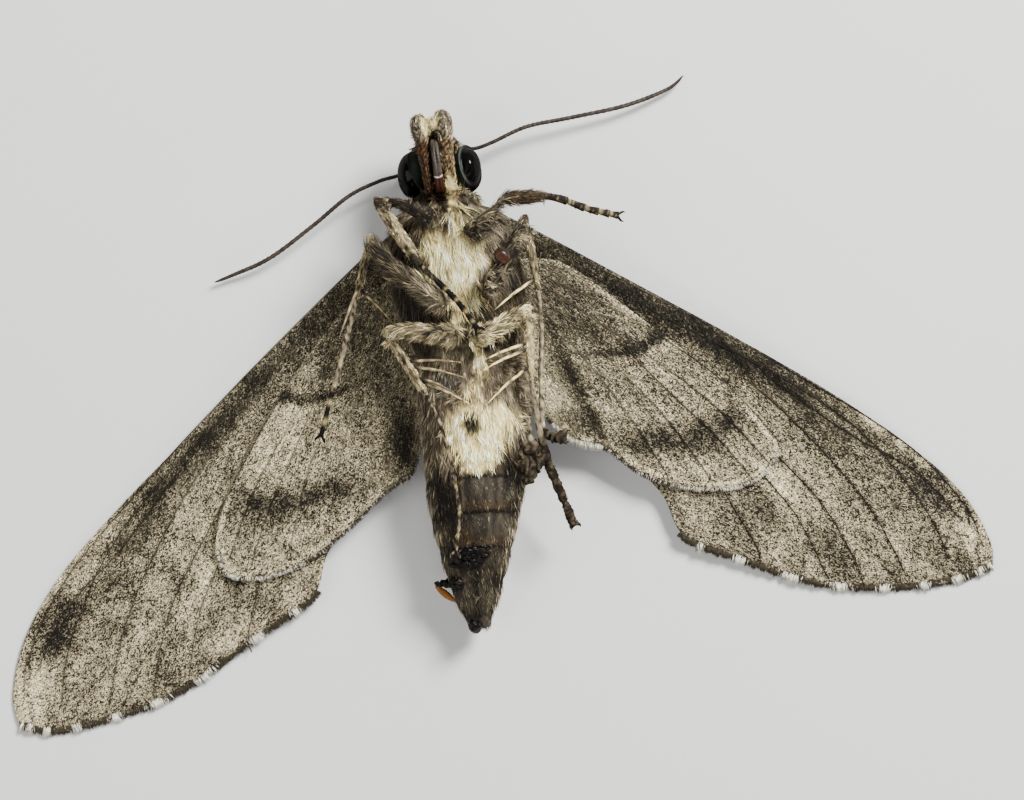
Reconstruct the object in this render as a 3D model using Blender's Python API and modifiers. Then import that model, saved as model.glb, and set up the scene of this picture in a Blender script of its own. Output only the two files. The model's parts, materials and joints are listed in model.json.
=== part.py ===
"""A large grey hawk moth at life size, lying on its back with its wings half open.

Metres, +Z up. The moth's head points to +Y and its belly is up, so its own left side is at +X.
The origin is on the floor, in the middle of the flat that the back of the thorax rests on.
Sizes below are in millimetres and are turned to metres where the meshes are made.
"""

import math

import bmesh
import bpy
from mathutils import Matrix, Vector

MM = 0.001
GAP = 0.3  # clearance between neighbouring pieces
KNEE_ROOM = 0.6  # from the knee to where the tibia starts
LEFT, RIGHT = 1, -1  # the sign of X on the moth's own left and right side

# Body sections: y, middle x, half width, height of the back, height of the belly.
THORAX = (
    (7.25, -0.4, 3.7, 1.9, 7.3),
    (5.6, -0.2, 5.1, 0.5, 8.6),
    (2.8, 0.1, 6.0, -0.15, 9.2),
    (-0.4, 0.3, 6.2, -0.25, 9.3),
    (-3.4, 0.5, 5.8, -0.1, 8.9),
    (-5.6, 0.7, 5.2, 0.5, 8.3),
)
ABDOMEN = (
    (-5.9, 0.8, 5.0, 0.7, 8.1),
    (-8.5, 0.8, 5.2, 0.05, 8.4),
    (-13.4, 0.7, 4.95, -0.15, 8.3),
    (-18.0, 0.25, 4.5, -0.15, 7.7),
    (-22.0, -0.1, 3.75, -0.05, 6.8),
    (-25.5, -0.35, 2.85, 0.35, 5.7),
    (-28.4, -0.5, 1.9, 1.0, 4.6),
    (-30.5, -0.5, 0.95, 1.5, 3.7),
)
HEAD = (
    (7.55, -0.4, 2.5, 2.0, 6.4),
    (8.8, -0.45, 3.0, 1.2, 6.3),
    (10.8, -0.5, 2.9, 1.0, 6.2),
    (12.4, -0.6, 2.3, 1.3, 5.9),
    (13.5, -0.7, 1.3, 2.4, 5.2),
)
SEGMENT_LENGTH = 3.1  # of one abdominal ring
FIRST_GROOVE = -1.3  # where the first groove between rings would be, under the thorax
SEGMENT_GROOVE = 0.14
BODY_SQUARENESS = 2.1  # exponent of the body's superellipse sections

HEAD_MIDDLE_X = -0.45
EYE_SIZE = (1.35, 2.1, 2.25)  # half axes
EYE_SPREAD = 2.42  # from the head's middle to an eye's centre
EYE_CENTRE_Y = {LEFT: 10.05, RIGHT: 9.85}
EYE_CENTRE_Z = 4.7

# Palp sections: y, middle x, half width, lowest, highest.
PALPS = {
    LEFT: (
        (7.8, 0.62, 0.36, 6.9, 8.1),
        (9.2, 0.56, 0.40, 6.75, 8.9),
        (10.8, 0.42, 0.42, 6.65, 9.2),
        (12.2, 0.42, 0.50, 6.55, 9.3),
        (13.1, 0.28, 0.70, 5.9, 9.2),
        (14.0, 0.20, 0.87, 4.7, 8.7),
        (14.7, 0.16, 0.72, 4.8, 8.0),
        (15.05, 0.14, 0.40, 5.5, 7.3),
    ),
    RIGHT: (
        (7.8, -1.42, 0.34, 6.9, 8.1),
        (9.2, -1.46, 0.36, 6.75, 8.9),
        (10.8, -1.62, 0.40, 6.65, 9.2),
        (12.1, -1.72, 0.46, 6.55, 9.2),
        (13.0, -1.80, 0.66, 5.9, 9.1),
        (13.8, -1.82, 0.87, 4.7, 8.6),
        (14.5, -1.82, 0.72, 4.8, 7.9),
        (14.85, -1.80, 0.40, 5.5, 7.2),
    ),
}
TONGUE_CENTRE = (-0.57, 10.4, 7.95)
TONGUE_SLANT = -0.045  # how far aside the coil leans for each millimetre towards the front
TONGUE_COIL = (2.45, 0.75)  # outer and inner radius of the coil, along the body
TONGUE_FLATTENING = 0.52  # the coil's height over its length
TONGUE_TURNS = 2.0
TONGUE_BREADTH = 1.3  # its width over its height
TONGUE_RADII = (0.28, 0.25)  # at the base and at the tip

ANTENNA_RADII = (0.27, 0.30, 0.36, 0.27)
ANTENNAE = {
    LEFT: ((1.2, 12.2, 1.6), (2.8, 12.1, 1.7), (4.4, 12.5, 1.9), (7.5, 13.6, 1.9), (11.5, 14.1, 1.6),
           (16.5, 14.8, 1.2), (20.4, 16.0, 0.8), (21.9, 17.1, 0.7)),
    RIGHT: ((-2.0, 11.5, 1.5), (-3.9, 10.4, 1.6), (-6.0, 9.9, 1.9), (-8.8, 8.8, 2.0), (-12.2, 6.5, 1.7),
            (-16.3, 4.0, 1.3), (-19.8, 2.8, 0.8), (-21.5, 2.3, 0.7)),
}

WING_THICKNESS = 0.5
WING_ROOT_HEIGHT = 3.6  # of the forewing's middle surface at the thorax
WING_LIFT = WING_ROOT_HEIGHT - WING_THICKNESS / 2
WING_ROOT = (5.6, 0.6)
WING_TOUCHES_FLOOR = 43.0  # distance from the root beyond which the forewing lies flat
WING_SLOPE_POWER = 1.45
HINDWING_STEP = WING_THICKNESS + GAP  # the hindwing lies over the forewing

# Each wing's leading and trailing edge from the root, inside the thorax, to the tip: x, y.
FOREWING_EDGES = {
    LEFT: (
        ((4.0, 6.5), (8.8, 3.6), (16.3, -1.2), (24.2, -6.3), (31.8, -11.5), (39.0, -17.2),
         (43.6, -22.1), (45.7, -26.6), (45.7, -29.2)),
        ((3.0, -1.5), (6.6, -8.0), (11.7, -14.6), (16.4, -20.0), (18.2, -24.2), (23.2, -26.7),
         (29.4, -29.3), (36.1, -30.4), (42.2, -30.2), (45.7, -29.2)),
    ),
    RIGHT: (
        ((-4.0, 6.1), (-8.7, 2.6), (-16.2, -3.5), (-23.7, -9.9), (-30.9, -16.0), (-37.5, -22.3),
         (-41.2, -27.7), (-42.8, -32.8), (-42.3, -35.9)),
        ((-2.6, -1.5), (-5.7, -9.0), (-9.8, -17.1), (-13.4, -23.1), (-14.9, -26.6), (-20.2, -29.7),
         (-27.9, -34.2), (-34.2, -36.0), (-39.4, -36.7), (-42.3, -35.9)),
    ),
}
HINDWING_EDGES = {
    LEFT: (
        ((3.6, 1.8), (9.4, 1.4), (16.0, -4.0), (22.4, -9.8), (26.4, -14.2), (27.5, -17.3)),
        ((3.8, -8.6), (6.6, -12.0), (9.2, -14.6), (11.9, -15.6), (15.3, -18.4), (20.6, -20.1),
         (25.0, -19.7), (27.5, -17.3)),
    ),
    RIGHT: (
        ((-3.6, 1.4), (-8.6, 0.0), (-14.7, -6.2), (-19.5, -13.0), (-22.6, -18.3), (-23.4, -21.7)),
        ((-3.4, -9.0), (-4.8, -15.6), (-7.8, -17.9), (-11.7, -21.1), (-15.4, -23.4),
         (-19.3, -24.5), (-22.6, -23.9), (-23.4, -21.7)),
    ),
}

# Legs: the joints' places, the tarsus' path, and the radii of femur, tibia and tarsus.
LEGS = {
    "foreleg_right": {
        "hip": (-1.9, 5.9, 9.0), "knee": (-6.1, 7.7, 8.2), "ankle": (-2.6, 1.5, 10.3),
        "foot": ((-1.1, -0.2, 11.1), (0.3, -1.9, 11.6), (1.7, -4.2, 11.7)),
        "radii": (0.62, 0.78, 0.34), "bow": (0.0, 0.3, 0.3),
    },
    "foreleg_left": {
        "hip": (2.0, 4.3, 9.4), "knee": (4.7, 6.8, 8.6), "ankle": (8.4, 6.8, 8.0),
        "foot": ((9.9, 6.4, 7.6), (12.2, 5.4, 6.9), (14.7, 4.7, 6.2)),
        "radii": (0.6, 0.82, 0.36), "bow": (0.3, 0.0, 0.2),
    },
    "midleg_right": {
        "hip": (-1.5, -1.3, 10.5), "knee": (-6.9, 4.4, 8.1), "ankle": (-8.6, -0.6, 6.3),
        "foot": ((-9.6, -3.3, 5.7), (-10.8, -6.6, 5.1), (-11.7, -8.9, 4.8), (-12.9, -12.2, 4.3)),
        "radii": (0.98, 0.52, 0.3), "bow": (-0.5, -0.3, 0.3),
    },
    "midleg_left": {
        "hip": (3.0, -0.4, 10.2), "knee": (6.6, 5.1, 8.0), "ankle": (7.2, -1.2, 6.7),
        "foot": ((7.2, -4.6, 5.4), (6.8, -8.6, 5.1), (6.6, -12.4, 5.0), (7.0, -13.9, 5.0), (8.2, -14.1, 5.2)),
        "radii": (0.9, 0.55, 0.36), "bow": (0.4, 0.0, 0.2),
    },
    "hindleg_right": {
        "hip": (-0.9, -4.5, 10.0), "knee": (-6.2, -3.7, 8.4), "ankle": (-3.2, -9.4, 9.4),
        "foot": ((-2.4, -11.4, 9.5), (-1.8, -14.0, 9.2), (-1.4, -17.0, 8.6), (-1.3, -20.0, 8.0), (-1.9, -23.2, 7.1)),
        "radii": (0.92, 0.6, 0.3), "bow": (-0.3, 0.2, 0.2),
    },
    "hindleg_left": {
        "hip": (1.7, -4.9, 9.9), "knee": (6.2, -2.7, 8.4), "ankle": (5.9, -8.8, 8.2),
        "foot": ((6.1, -11.6, 7.1), (6.4, -14.4, 6.3), (7.1, -17.3, 5.6), (8.0, -20.1, 4.7), (8.6, -21.8, 4.2)),
        "radii": (0.9, 0.6, 0.38), "bow": (0.3, 0.0, 0.2),
    },
}
# Spurs on the tibiae: the share of the tibia that each grows from, and where it ends.
SPURS = {
    "midleg_right": ((0.84, (-5.6, -3.0, 7.1)), (0.76, (-10.3, -3.9, 7.9))),
    "midleg_left": ((0.84, (3.2, -2.8, 10.3)),),
    "hindleg_right": ((0.50, (0.0, -6.9, 9.8)), (0.58, (0.4, -8.3, 9.9)),
                      (0.76, (-0.7, -9.5, 10.4)), (0.80, (1.0, -10.9, 10.1))),
    "hindleg_left": ((0.50, (1.8, -7.0, 9.9)), (0.58, (1.4, -8.0, 9.9)), (0.84, (1.9, -10.7, 9.4))),
}
SPUR_RADII = (0.3, 0.25)
SPUR_ROOT_OFFSET = 0.4  # from the tibia's middle line, in shares of its radius
CLAW_LENGTH = 0.75
CLAW_SPREAD = 0.45
TARSOMERES = 5


# ---------------------------------------------------------------- helpers

def clear_scene():
    for old in list(bpy.data.objects):
        bpy.data.objects.remove(old, do_unlink=True)


def collection(name):
    made = bpy.data.collections.new(name)
    bpy.context.scene.collection.children.link(made)
    return made


def material(name, colour, roughness, metallic=0.0):
    made = bpy.data.materials.new(name)
    made.use_nodes = True
    shader = made.node_tree.nodes["Principled BSDF"]
    shader.inputs["Base Color"].default_value = (*colour, 1.0)
    shader.inputs["Roughness"].default_value = roughness
    shader.inputs["Metallic"].default_value = metallic
    made.diffuse_color = (*colour, 1.0)
    return made


def spline_point(rows, share):
    """The place at this share, 0 to 1, of a smooth curve that goes through all the rows."""
    at = min(max(share, 0.0), 1.0) * (len(rows) - 1)
    i = min(int(at), len(rows) - 2)
    t = at - i
    before, start, end, after = (rows[min(max(i + k, 0), len(rows) - 1)] for k in (-1, 0, 1, 2))
    return tuple(
        0.5 * (2 * b + (c - a) * t + (2 * a - 5 * b + 4 * c - d) * t * t + (3 * b - a - 3 * c + d) * t ** 3)
        for a, b, c, d in zip(before, start, end, after)
    )


def new_object(name, data, home, skin=None):
    made = bpy.data.objects.new(name, data)
    home.objects.link(made)
    if skin:
        data.materials.append(skin)
    return made


def mesh_object(name, form, home, skin=None):
    """An object from a bmesh in millimetres, its faces turned outwards."""
    form.normal_update()
    bmesh.ops.recalc_face_normals(form, faces=form.faces)
    bmesh.ops.scale(form, vec=(MM, MM, MM), verts=form.verts)
    mesh = bpy.data.meshes.new(name)
    form.to_mesh(mesh)
    form.free()
    mesh.shade_smooth()
    return new_object(name, mesh, home, skin)


def hidden(cutter):
    cutter.hide_render = True
    cutter.display_type = "WIRE"
    return cutter


def boolean(piece, operation, other):
    step = piece.modifiers.new(f"{operation.lower()} {other.name}", "BOOLEAN")
    step.operation = operation
    step.object = other


def superellipse(angle, squareness):
    """A point of a unit superellipse."""
    c, s = math.cos(angle), math.sin(angle)
    return (
        math.copysign(abs(c) ** (2 / squareness), c),
        math.copysign(abs(s) ** (2 / squareness), s),
    )


def lofted_body(name, sections, home, skin, sides, rings, grow=0.0, groove=None, tail_first=False):
    """A closed body along Y from a sphere whose rings are moved onto the sections. It never
    reaches under the floor, which leaves a flat where its back touches it. Grow widens it all round."""
    rings_in_body = rings - 2
    form = bmesh.new()
    bmesh.ops.create_uvsphere(form, u_segments=sides, v_segments=rings, radius=1.0)
    for vert in form.verts:
        ring = round(math.acos(max(-1.0, min(1.0, vert.co.z))) / math.pi * rings)
        share = min(max((ring - 1) / rings_in_body, 0.0), 1.0)
        if tail_first:
            share = 1 - (1 - share) ** 1.25
        y, middle, half_width, back, belly = spline_point(sections, share)
        if 0 < ring < rings:
            across, up = superellipse(math.atan2(vert.co.y, vert.co.x), BODY_SQUARENESS)
        else:
            across = up = 0.0
        if ring <= 1:
            y += grow
        elif ring >= rings - 1:
            y -= grow
        shrink = groove(y) if groove else 0.0
        height = (belly - back) / 2
        z = (belly + back) / 2 + up * (height + grow - shrink)
        x = middle + across * (half_width + grow - shrink)
        vert.co = (x, y, max(z, 0.0 if not grow else -grow))
    return mesh_object(name, form, home, skin)


def ellipsoid(name, centre, half_axes, home, skin, sides=14, rings=9):
    form = bmesh.new()
    bmesh.ops.create_uvsphere(form, u_segments=sides, v_segments=rings, radius=1.0)
    for vert in form.verts:
        # the sphere's poles are turned to point outwards along X, as an eye bulges
        turned = (vert.co.z, vert.co.x, vert.co.y)
        vert.co = [c + u * a for c, u, a in zip(centre, turned, half_axes)]
    return mesh_object(name, form, home, skin)


def tube(name, path, radii, home, skin, points, squash_x=1.0):
    """A round tube along a smooth path, its radius running smoothly through the given ones."""
    curve = bpy.data.curves.new(name, "CURVE")
    curve.dimensions = "3D"
    curve.bevel_depth = 1.0 * MM
    curve.bevel_resolution = 1
    curve.use_fill_caps = True
    spline = curve.splines.new("POLY")
    spline.points.add(points - 1)
    radius_rows = [(r,) for r in radii]
    for i, point in enumerate(spline.points):
        share = i / (points - 1)
        point.co = (*(c * MM for c in spline_point(path, share)), 1.0)
        point.radius = spline_point(radius_rows, share)[0]
    made = new_object(name, curve, home, skin)
    if squash_x != 1.0:
        made.scale.x = squash_x
    return made


def as_mesh(made, home, skin):
    """The same piece as a closed mesh, which a Boolean can cut or join."""
    bpy.context.view_layer.update()
    evaluated = made.evaluated_get(bpy.context.evaluated_depsgraph_get())
    form = bmesh.new()
    copied = bpy.data.meshes.new_from_object(evaluated)
    form.from_mesh(copied)
    bpy.data.meshes.remove(copied)
    form.transform(Matrix.Scale(1 / MM, 4) @ made.matrix_world)
    bmesh.ops.remove_doubles(form, verts=form.verts, dist=0.002)
    name = made.name
    bpy.data.objects.remove(made, do_unlink=True)
    return mesh_object(name, form, home, skin)


def rod(name, start, end, radii, home):
    """A tapered rod with flat ends, from start to end."""
    start, end = Vector(start), Vector(end)
    form = bmesh.new()
    bmesh.ops.create_cone(
        form, cap_ends=True, segments=6, radius1=radii[0], radius2=radii[1], depth=(end - start).length,
    )
    turn = Vector((0, 0, 1)).rotation_difference(end - start).to_matrix().to_4x4()
    bmesh.ops.transform(form, matrix=turn, verts=form.verts)
    bmesh.ops.translate(form, vec=(start + end) / 2, verts=form.verts)
    return mesh_object(name, form, home)


def room(name, path, radii, cutters, points):
    """A cutter that leaves the clearance round a tube of the same path and radii."""
    before_start = [a + (a - b) * GAP / math.dist(path[0], path[1]) for a, b in zip(path[0], path[1])]
    past_end = [a + (a - b) * GAP / math.dist(path[-1], path[-2]) for a, b in zip(path[-1], path[-2])]
    longer = (before_start, *path[1:-1], past_end)
    made = tube(f"{name}_room", longer, [r + GAP for r in radii], cutters, None, points)
    return hidden(as_mesh(made, cutters, None))


def between(a, b, share):
    return tuple(p + (q - p) * share for p, q in zip(a, b))


# ---------------------------------------------------------------- body

def body_parts(home, cutters, skins):
    def groove(y):
        place = (y - FIRST_GROOVE) / SEGMENT_LENGTH
        return SEGMENT_GROOVE * math.exp(-((place - round(place)) / 0.16) ** 2)

    lofted_body("thorax", THORAX, home, skins["belly hair"], 24, 13)
    lofted_body("abdomen", ABDOMEN, home, skins["belly hair"], 20, 30, groove=groove, tail_first=True)
    head = lofted_body("head", HEAD, home, skins["grey hair"], 18, 10)
    hidden(lofted_body("thorax_room", THORAX, cutters, None, 24, 13, grow=GAP))
    hidden(lofted_body("abdomen_room", ABDOMEN, cutters, None, 20, 20, grow=GAP, tail_first=True))
    hidden(lofted_body("head_room", HEAD, cutters, None, 18, 10, grow=GAP))
    for side, word in ((LEFT, "left"), (RIGHT, "right")):
        centre = (HEAD_MIDDLE_X + side * EYE_SPREAD, EYE_CENTRE_Y[side], EYE_CENTRE_Z)
        ellipsoid(f"eye_{word}", centre, EYE_SIZE, home, skins["eye"])
        socket = ellipsoid(f"socket_{word}", centre, [a + GAP for a in EYE_SIZE], cutters, None)
        boolean(head, "DIFFERENCE", hidden(socket))
        lofted_body(f"palp_{word}", PALPS[side], home, skins["grey hair"], 10, 13)


def tongue(home, skin):
    """The coiled sucking tongue, standing on edge between the palps."""
    outer, inner = TONGUE_COIL
    steps = 34
    path = []
    for i in range(steps):
        share = i / (steps - 1)
        radius = outer + (inner - outer) * share
        angle = math.radians(250) - share * TONGUE_TURNS * 2 * math.pi
        ahead = radius * math.cos(angle)
        path.append((
            (TONGUE_CENTRE[0] + TONGUE_SLANT * ahead) / TONGUE_BREADTH,
            TONGUE_CENTRE[1] + ahead,
            TONGUE_CENTRE[2] + radius * math.sin(angle) * TONGUE_FLATTENING,
        ))
    tube("proboscis", path, TONGUE_RADII, home, skin, points=steps, squash_x=TONGUE_BREADTH)


def antennae(home, cutters, skin):
    for side, word in ((LEFT, "left"), (RIGHT, "right")):
        feeler = tube(f"antenna_{word}", ANTENNAE[side], ANTENNA_RADII, home, skin, points=18)
        boolean(as_mesh(feeler, home, skin), "DIFFERENCE", cutters.objects["head_room"])


# ---------------------------------------------------------------- wings

def sheet_height(x, y):
    """Height of the forewing's middle surface: high at the root, flat on the floor at the tip."""
    reach = math.hypot(abs(x) - WING_ROOT[0], y - WING_ROOT[1])
    slope = max(1 - reach / WING_TOUCHES_FLOOR, 0.0)
    return WING_THICKNESS / 2 + WING_LIFT * slope ** WING_SLOPE_POWER


def wing(name, edges, height, home, skin, along, across):
    """A grid stretched between the two edges and given its thickness."""
    form = bmesh.new()
    bmesh.ops.create_grid(form, x_segments=along, y_segments=across, size=0.5)
    for vert in form.verts:
        out, back = vert.co.x + 0.5, vert.co.y + 0.5
        out = 1 - (1 - out) ** 1.2 * (1 - 0.004)
        front, rear = (spline_point(edge, out) for edge in edges)
        x, y = between(front, rear, back)
        vert.co = (x, y, height(x, y))
    made = mesh_object(name, form, home, skin)
    thick = made.modifiers.new("membrane", "SOLIDIFY")
    thick.thickness = WING_THICKNESS * MM
    thick.offset = 0.0
    return made


def wings(home, cutters, skins):
    for side, word in ((LEFT, "left"), (RIGHT, "right")):
        front = wing(f"forewing_{word}", FOREWING_EDGES[side], sheet_height, home, skins["wing"], 18, 7)
        rear = wing(
            f"hindwing_{word}", HINDWING_EDGES[side], lambda x, y: sheet_height(x, y) + HINDWING_STEP,
            home, skins["wing"], 13, 8,
        )
        for piece in (front, rear):
            boolean(piece, "DIFFERENCE", cutters.objects["thorax_room"])
            boolean(piece, "DIFFERENCE", cutters.objects["abdomen_room"])


# ---------------------------------------------------------------- legs

def leg(name, plan, home, cutters, skins):
    """One leg: a femur, a tibia with its spurs and a tarsus of five joints with two claws."""
    hip, knee, ankle = plan["hip"], plan["knee"], plan["ankle"]
    thigh, shin, foot = plan["radii"]
    bend = [p + q for p, q in zip(between(hip, knee, 0.5), plan["bow"])]
    reach = (Vector(knee) - Vector(hip)).length
    thighs = (0.55 * thigh, thigh, thigh, 0.9 * thigh, 0.42 * thigh)
    femur_path = (hip, bend, between(knee, hip, GAP / reach))
    tube(f"{name}_femur", femur_path, thighs, home, skins["leg"], points=8)
    femur_room = room(f"{name}_femur", femur_path, thighs, cutters, points=8)

    reach = (Vector(ankle) - Vector(knee)).length
    shins = (0.55 * shin, 0.95 * shin, shin, 0.9 * shin, 0.6 * shin)
    shin_path = (between(knee, ankle, KNEE_ROOM / reach), between(ankle, knee, GAP / reach))
    tibia = tube(f"{name}_tibia", shin_path, shins, home, skins["leg"], points=8)
    tibia = as_mesh(tibia, home, skins["leg"])
    boolean(tibia, "DIFFERENCE", femur_room)
    tibia_room = room(f"{name}_tibia", shin_path, shins, cutters, points=8)
    for number, (share, tip) in enumerate(SPURS.get(name, ())):
        middle, along = Vector(between(knee, ankle, share)), Vector(ankle) - Vector(knee)
        outward = (Vector(tip) - middle) - (Vector(tip) - middle).project(along)
        root = middle + outward.normalized() * SPUR_ROOT_OFFSET * shin
        spur = rod(f"{name}_spur_{number}", root, tip, SPUR_RADII, cutters)
        boolean(tibia, "UNION", hidden(spur))

    path = (ankle, *plan["foot"])
    pulse = [foot * (1.0 if i % 2 else 0.84) for i in range(2 * TARSOMERES)]
    tarsus = tube(f"{name}_tarsus", path, pulse, home, skins["foot"], points=2 * TARSOMERES + 5)
    tarsus = as_mesh(tarsus, home, skins["foot"])
    boolean(tarsus, "DIFFERENCE", tibia_room)
    toe, before = Vector(path[-1]), Vector(spline_point(path, 0.94))
    ahead = (toe - before).normalized()
    aside = ahead.cross(Vector((0, 0, 1))).normalized()
    for number, sign in enumerate((1, -1)):
        tip = toe + ahead * CLAW_LENGTH + aside * sign * CLAW_SPREAD
        claw = rod(f"{name}_claw_{number}", toe - ahead * 0.3, tip, (0.27, 0.25), cutters)
        boolean(tarsus, "UNION", hidden(claw))


def build():
    clear_scene()
    home = collection("hawk moth")
    cutters = collection("cutters")
    skins = {
        "belly hair": material("belly hair", (0.52, 0.48, 0.39), 0.85),
        "grey hair": material("grey hair", (0.22, 0.19, 0.15), 0.85),
        "wing": material("wing scales", (0.27, 0.25, 0.21), 0.8),
        "eye": material("eye", (0.012, 0.012, 0.014), 0.12),
        "tongue": material("tongue", (0.13, 0.05, 0.03), 0.3),
        "antenna": material("antenna", (0.08, 0.055, 0.045), 0.6),
        "leg": material("leg scales", (0.3, 0.26, 0.2), 0.8),
        "foot": material("foot", (0.09, 0.075, 0.06), 0.6),
    }
    body_parts(home, cutters, skins)
    tongue(home, skins["tongue"])
    antennae(home, cutters, skins["antenna"])
    wings(home, cutters, skins)
    for name, plan in LEGS.items():
        leg(name, plan, home, cutters, skins)


build()
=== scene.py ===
"""Finishes the grey hawk moth: its skin, hair, scales, eyes, tongue, feelers and feet, and the stage.

Lengths are in millimetres in the tables and functions here and are turned to metres in the meshes.
The moth lies on its back, head towards +Y, belly up, its own left side at +X.
"""

import json
import math

import bpy
import numpy as np
from bpy.props import FloatProperty, FloatVectorProperty, IntProperty, PointerProperty
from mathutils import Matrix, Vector, kdtree

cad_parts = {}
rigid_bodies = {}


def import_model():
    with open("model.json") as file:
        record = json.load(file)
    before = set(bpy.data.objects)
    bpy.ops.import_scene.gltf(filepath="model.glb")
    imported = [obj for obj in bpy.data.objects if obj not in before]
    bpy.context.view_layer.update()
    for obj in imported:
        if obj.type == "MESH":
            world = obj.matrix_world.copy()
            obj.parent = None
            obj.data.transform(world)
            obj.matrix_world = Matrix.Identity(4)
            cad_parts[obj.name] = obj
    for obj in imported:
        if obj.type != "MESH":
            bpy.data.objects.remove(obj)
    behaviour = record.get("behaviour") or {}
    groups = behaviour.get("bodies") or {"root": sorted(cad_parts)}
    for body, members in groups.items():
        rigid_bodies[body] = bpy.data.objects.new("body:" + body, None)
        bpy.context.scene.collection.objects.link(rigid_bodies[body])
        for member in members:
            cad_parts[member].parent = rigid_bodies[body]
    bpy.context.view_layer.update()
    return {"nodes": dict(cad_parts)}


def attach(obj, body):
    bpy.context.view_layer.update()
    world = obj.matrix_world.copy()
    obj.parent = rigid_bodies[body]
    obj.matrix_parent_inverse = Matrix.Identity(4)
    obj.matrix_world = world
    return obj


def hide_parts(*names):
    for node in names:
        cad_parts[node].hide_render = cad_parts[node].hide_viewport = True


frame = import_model()

bl_info = {
    "name": "Hawk moth finish",
    "version": (1, 0, 0),
    "blender": (4, 5, 0),
    "location": "View3D > Sidebar > Moth",
    "description": "Skin, hair, scales and stage for a still, life-size hawk moth",
    "category": "Object",
}

MM = 0.001
LEFT, RIGHT = 1, -1
WORDS = {LEFT: "left", RIGHT: "right"}

# ------------------------------------------------------------------ sizes of the moth

# Leading and rear edge of each wing, from the root to the tip.
WING_EDGES = {
    ("fore", LEFT): (
        ((4.0, 6.5), (8.8, 3.6), (16.3, -1.2), (24.2, -6.3), (31.8, -11.5), (39.0, -17.2),
         (43.6, -22.1), (45.7, -26.6), (45.7, -29.2)),
        ((3.0, -1.5), (6.6, -8.0), (11.7, -14.6), (16.4, -20.0), (18.2, -24.2), (23.2, -26.7),
         (29.4, -29.3), (36.1, -30.4), (42.2, -30.2), (45.7, -29.2)),
    ),
    ("fore", RIGHT): (
        ((-4.0, 6.1), (-8.7, 2.6), (-16.2, -3.5), (-23.7, -9.9), (-30.9, -16.0), (-37.5, -22.3),
         (-41.2, -27.7), (-42.8, -32.8), (-42.3, -35.9)),
        ((-2.6, -1.5), (-5.7, -9.0), (-9.8, -17.1), (-13.4, -23.1), (-14.9, -26.6), (-20.2, -29.7),
         (-27.9, -34.2), (-34.2, -36.0), (-39.4, -36.7), (-42.3, -35.9)),
    ),
    ("hind", LEFT): (
        ((3.6, 1.8), (9.4, 1.4), (16.0, -4.0), (22.4, -9.8), (26.4, -14.2), (27.5, -17.3)),
        ((3.8, -8.6), (6.6, -12.0), (9.2, -14.6), (11.9, -15.6), (15.3, -18.4), (20.6, -20.1),
         (25.0, -19.7), (27.5, -17.3)),
    ),
    ("hind", RIGHT): (
        ((-3.6, 1.4), (-8.6, 0.0), (-14.7, -6.2), (-19.5, -13.0), (-22.6, -18.3), (-23.4, -21.7)),
        ((-3.4, -9.0), (-4.8, -15.6), (-7.8, -17.9), (-11.7, -21.1), (-15.4, -23.4),
         (-19.3, -24.5), (-22.6, -23.9), (-23.4, -21.7)),
    ),
}
# The wings' own measure runs from the root to the tip: shares of that length, out and back.
WING_AXES = {
    ("fore", LEFT): ((6.0, 4.3), (45.7, -29.2)),
    ("fore", RIGHT): ((-6.0, 4.3), (-42.3, -35.9)),
    ("hind", LEFT): ((6.0, -1.0), (27.5, -17.3)),
    ("hind", RIGHT): ((-6.0, -1.0), (-23.4, -21.7)),
}
WING_FLOOR = 0.25  # height of the forewing's middle where the wing lies on the floor
WING_LIFT = 3.35
WING_REACH = 43.0
WING_ROOT = (5.6, 0.6)
WING_SLOPE_POWER = 1.45
HINDWING_STEP = 0.8
# Where the folds and veins fan out from, in the wing's own measure, and how far apart they are.
FANS = {"fore": ((0.25, -0.09), 7.4), "hind": ((-0.12, -0.16), 7.0)}
VEIN_HALF = {"fore": 0.0026, "hind": 0.0042}
PLEAT_HEIGHT = 0.075

# Marks on the wings, in the wing's own measure: out, back, half length, half breadth, turn in
# degrees, and how much paler (above 0) or darker they make it.
FOREWING_UNDER = (
    (0.27, -0.026, 0.27, 0.022, -6, -0.38), (0.44, -0.040, 0.12, 0.020, -4, -0.18),
    (0.22, 0.050, 0.25, 0.080, 5, -0.14), (0.60, -0.040, 0.15, 0.040, 2, -0.22),
    (0.20, -0.064, 0.30, 0.020, -5.5, -0.34), (0.56, 0.10, 0.10, 0.06, 0, 0.14),
    (0.66, -0.094, 0.020, 0.009, 0, 0.45),
    (0.71, -0.099, 0.018, 0.009, 0, 0.50), (0.765, -0.100, 0.022, 0.009, 0, 0.45),
    (0.815, -0.096, 0.018, 0.008, 3, 0.40), (0.485, -0.080, 0.018, 0.014, 0, -0.30),
    (0.83, -0.052, 0.060, 0.034, 4, -0.30), (0.90, -0.048, 0.020, 0.014, 20, -0.12),
    (0.945, -0.020, 0.060, 0.030, 25, 0.26), (0.955, 0.024, 0.022, 0.014, 30, -0.22),
    (0.845, 0.075, 0.040, 0.024, 25, 0.14), (0.635, 0.095, 0.045, 0.028, 15, 0.20),
    # the dark mark at (0.605, 0.150) is the wing's own dark shade near the tornus, deepened by painted shadow
    # under the hindwing's edge
    (0.675, 0.185, 0.050, 0.020, 10, 0.24), (0.605, 0.150, 0.040, 0.036, 25, -0.26),
    (0.545, 0.235, 0.055, 0.032, 10, 0.10), (0.760, 0.140, 0.045, 0.026, 25, -0.20),
    (0.880, 0.115, 0.030, 0.022, 30, -0.12), (0.755, 0.040, 0.050, 0.022, 20, -0.10),
    (0.700, 0.010, 0.060, 0.020, 10, -0.05),
)
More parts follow.
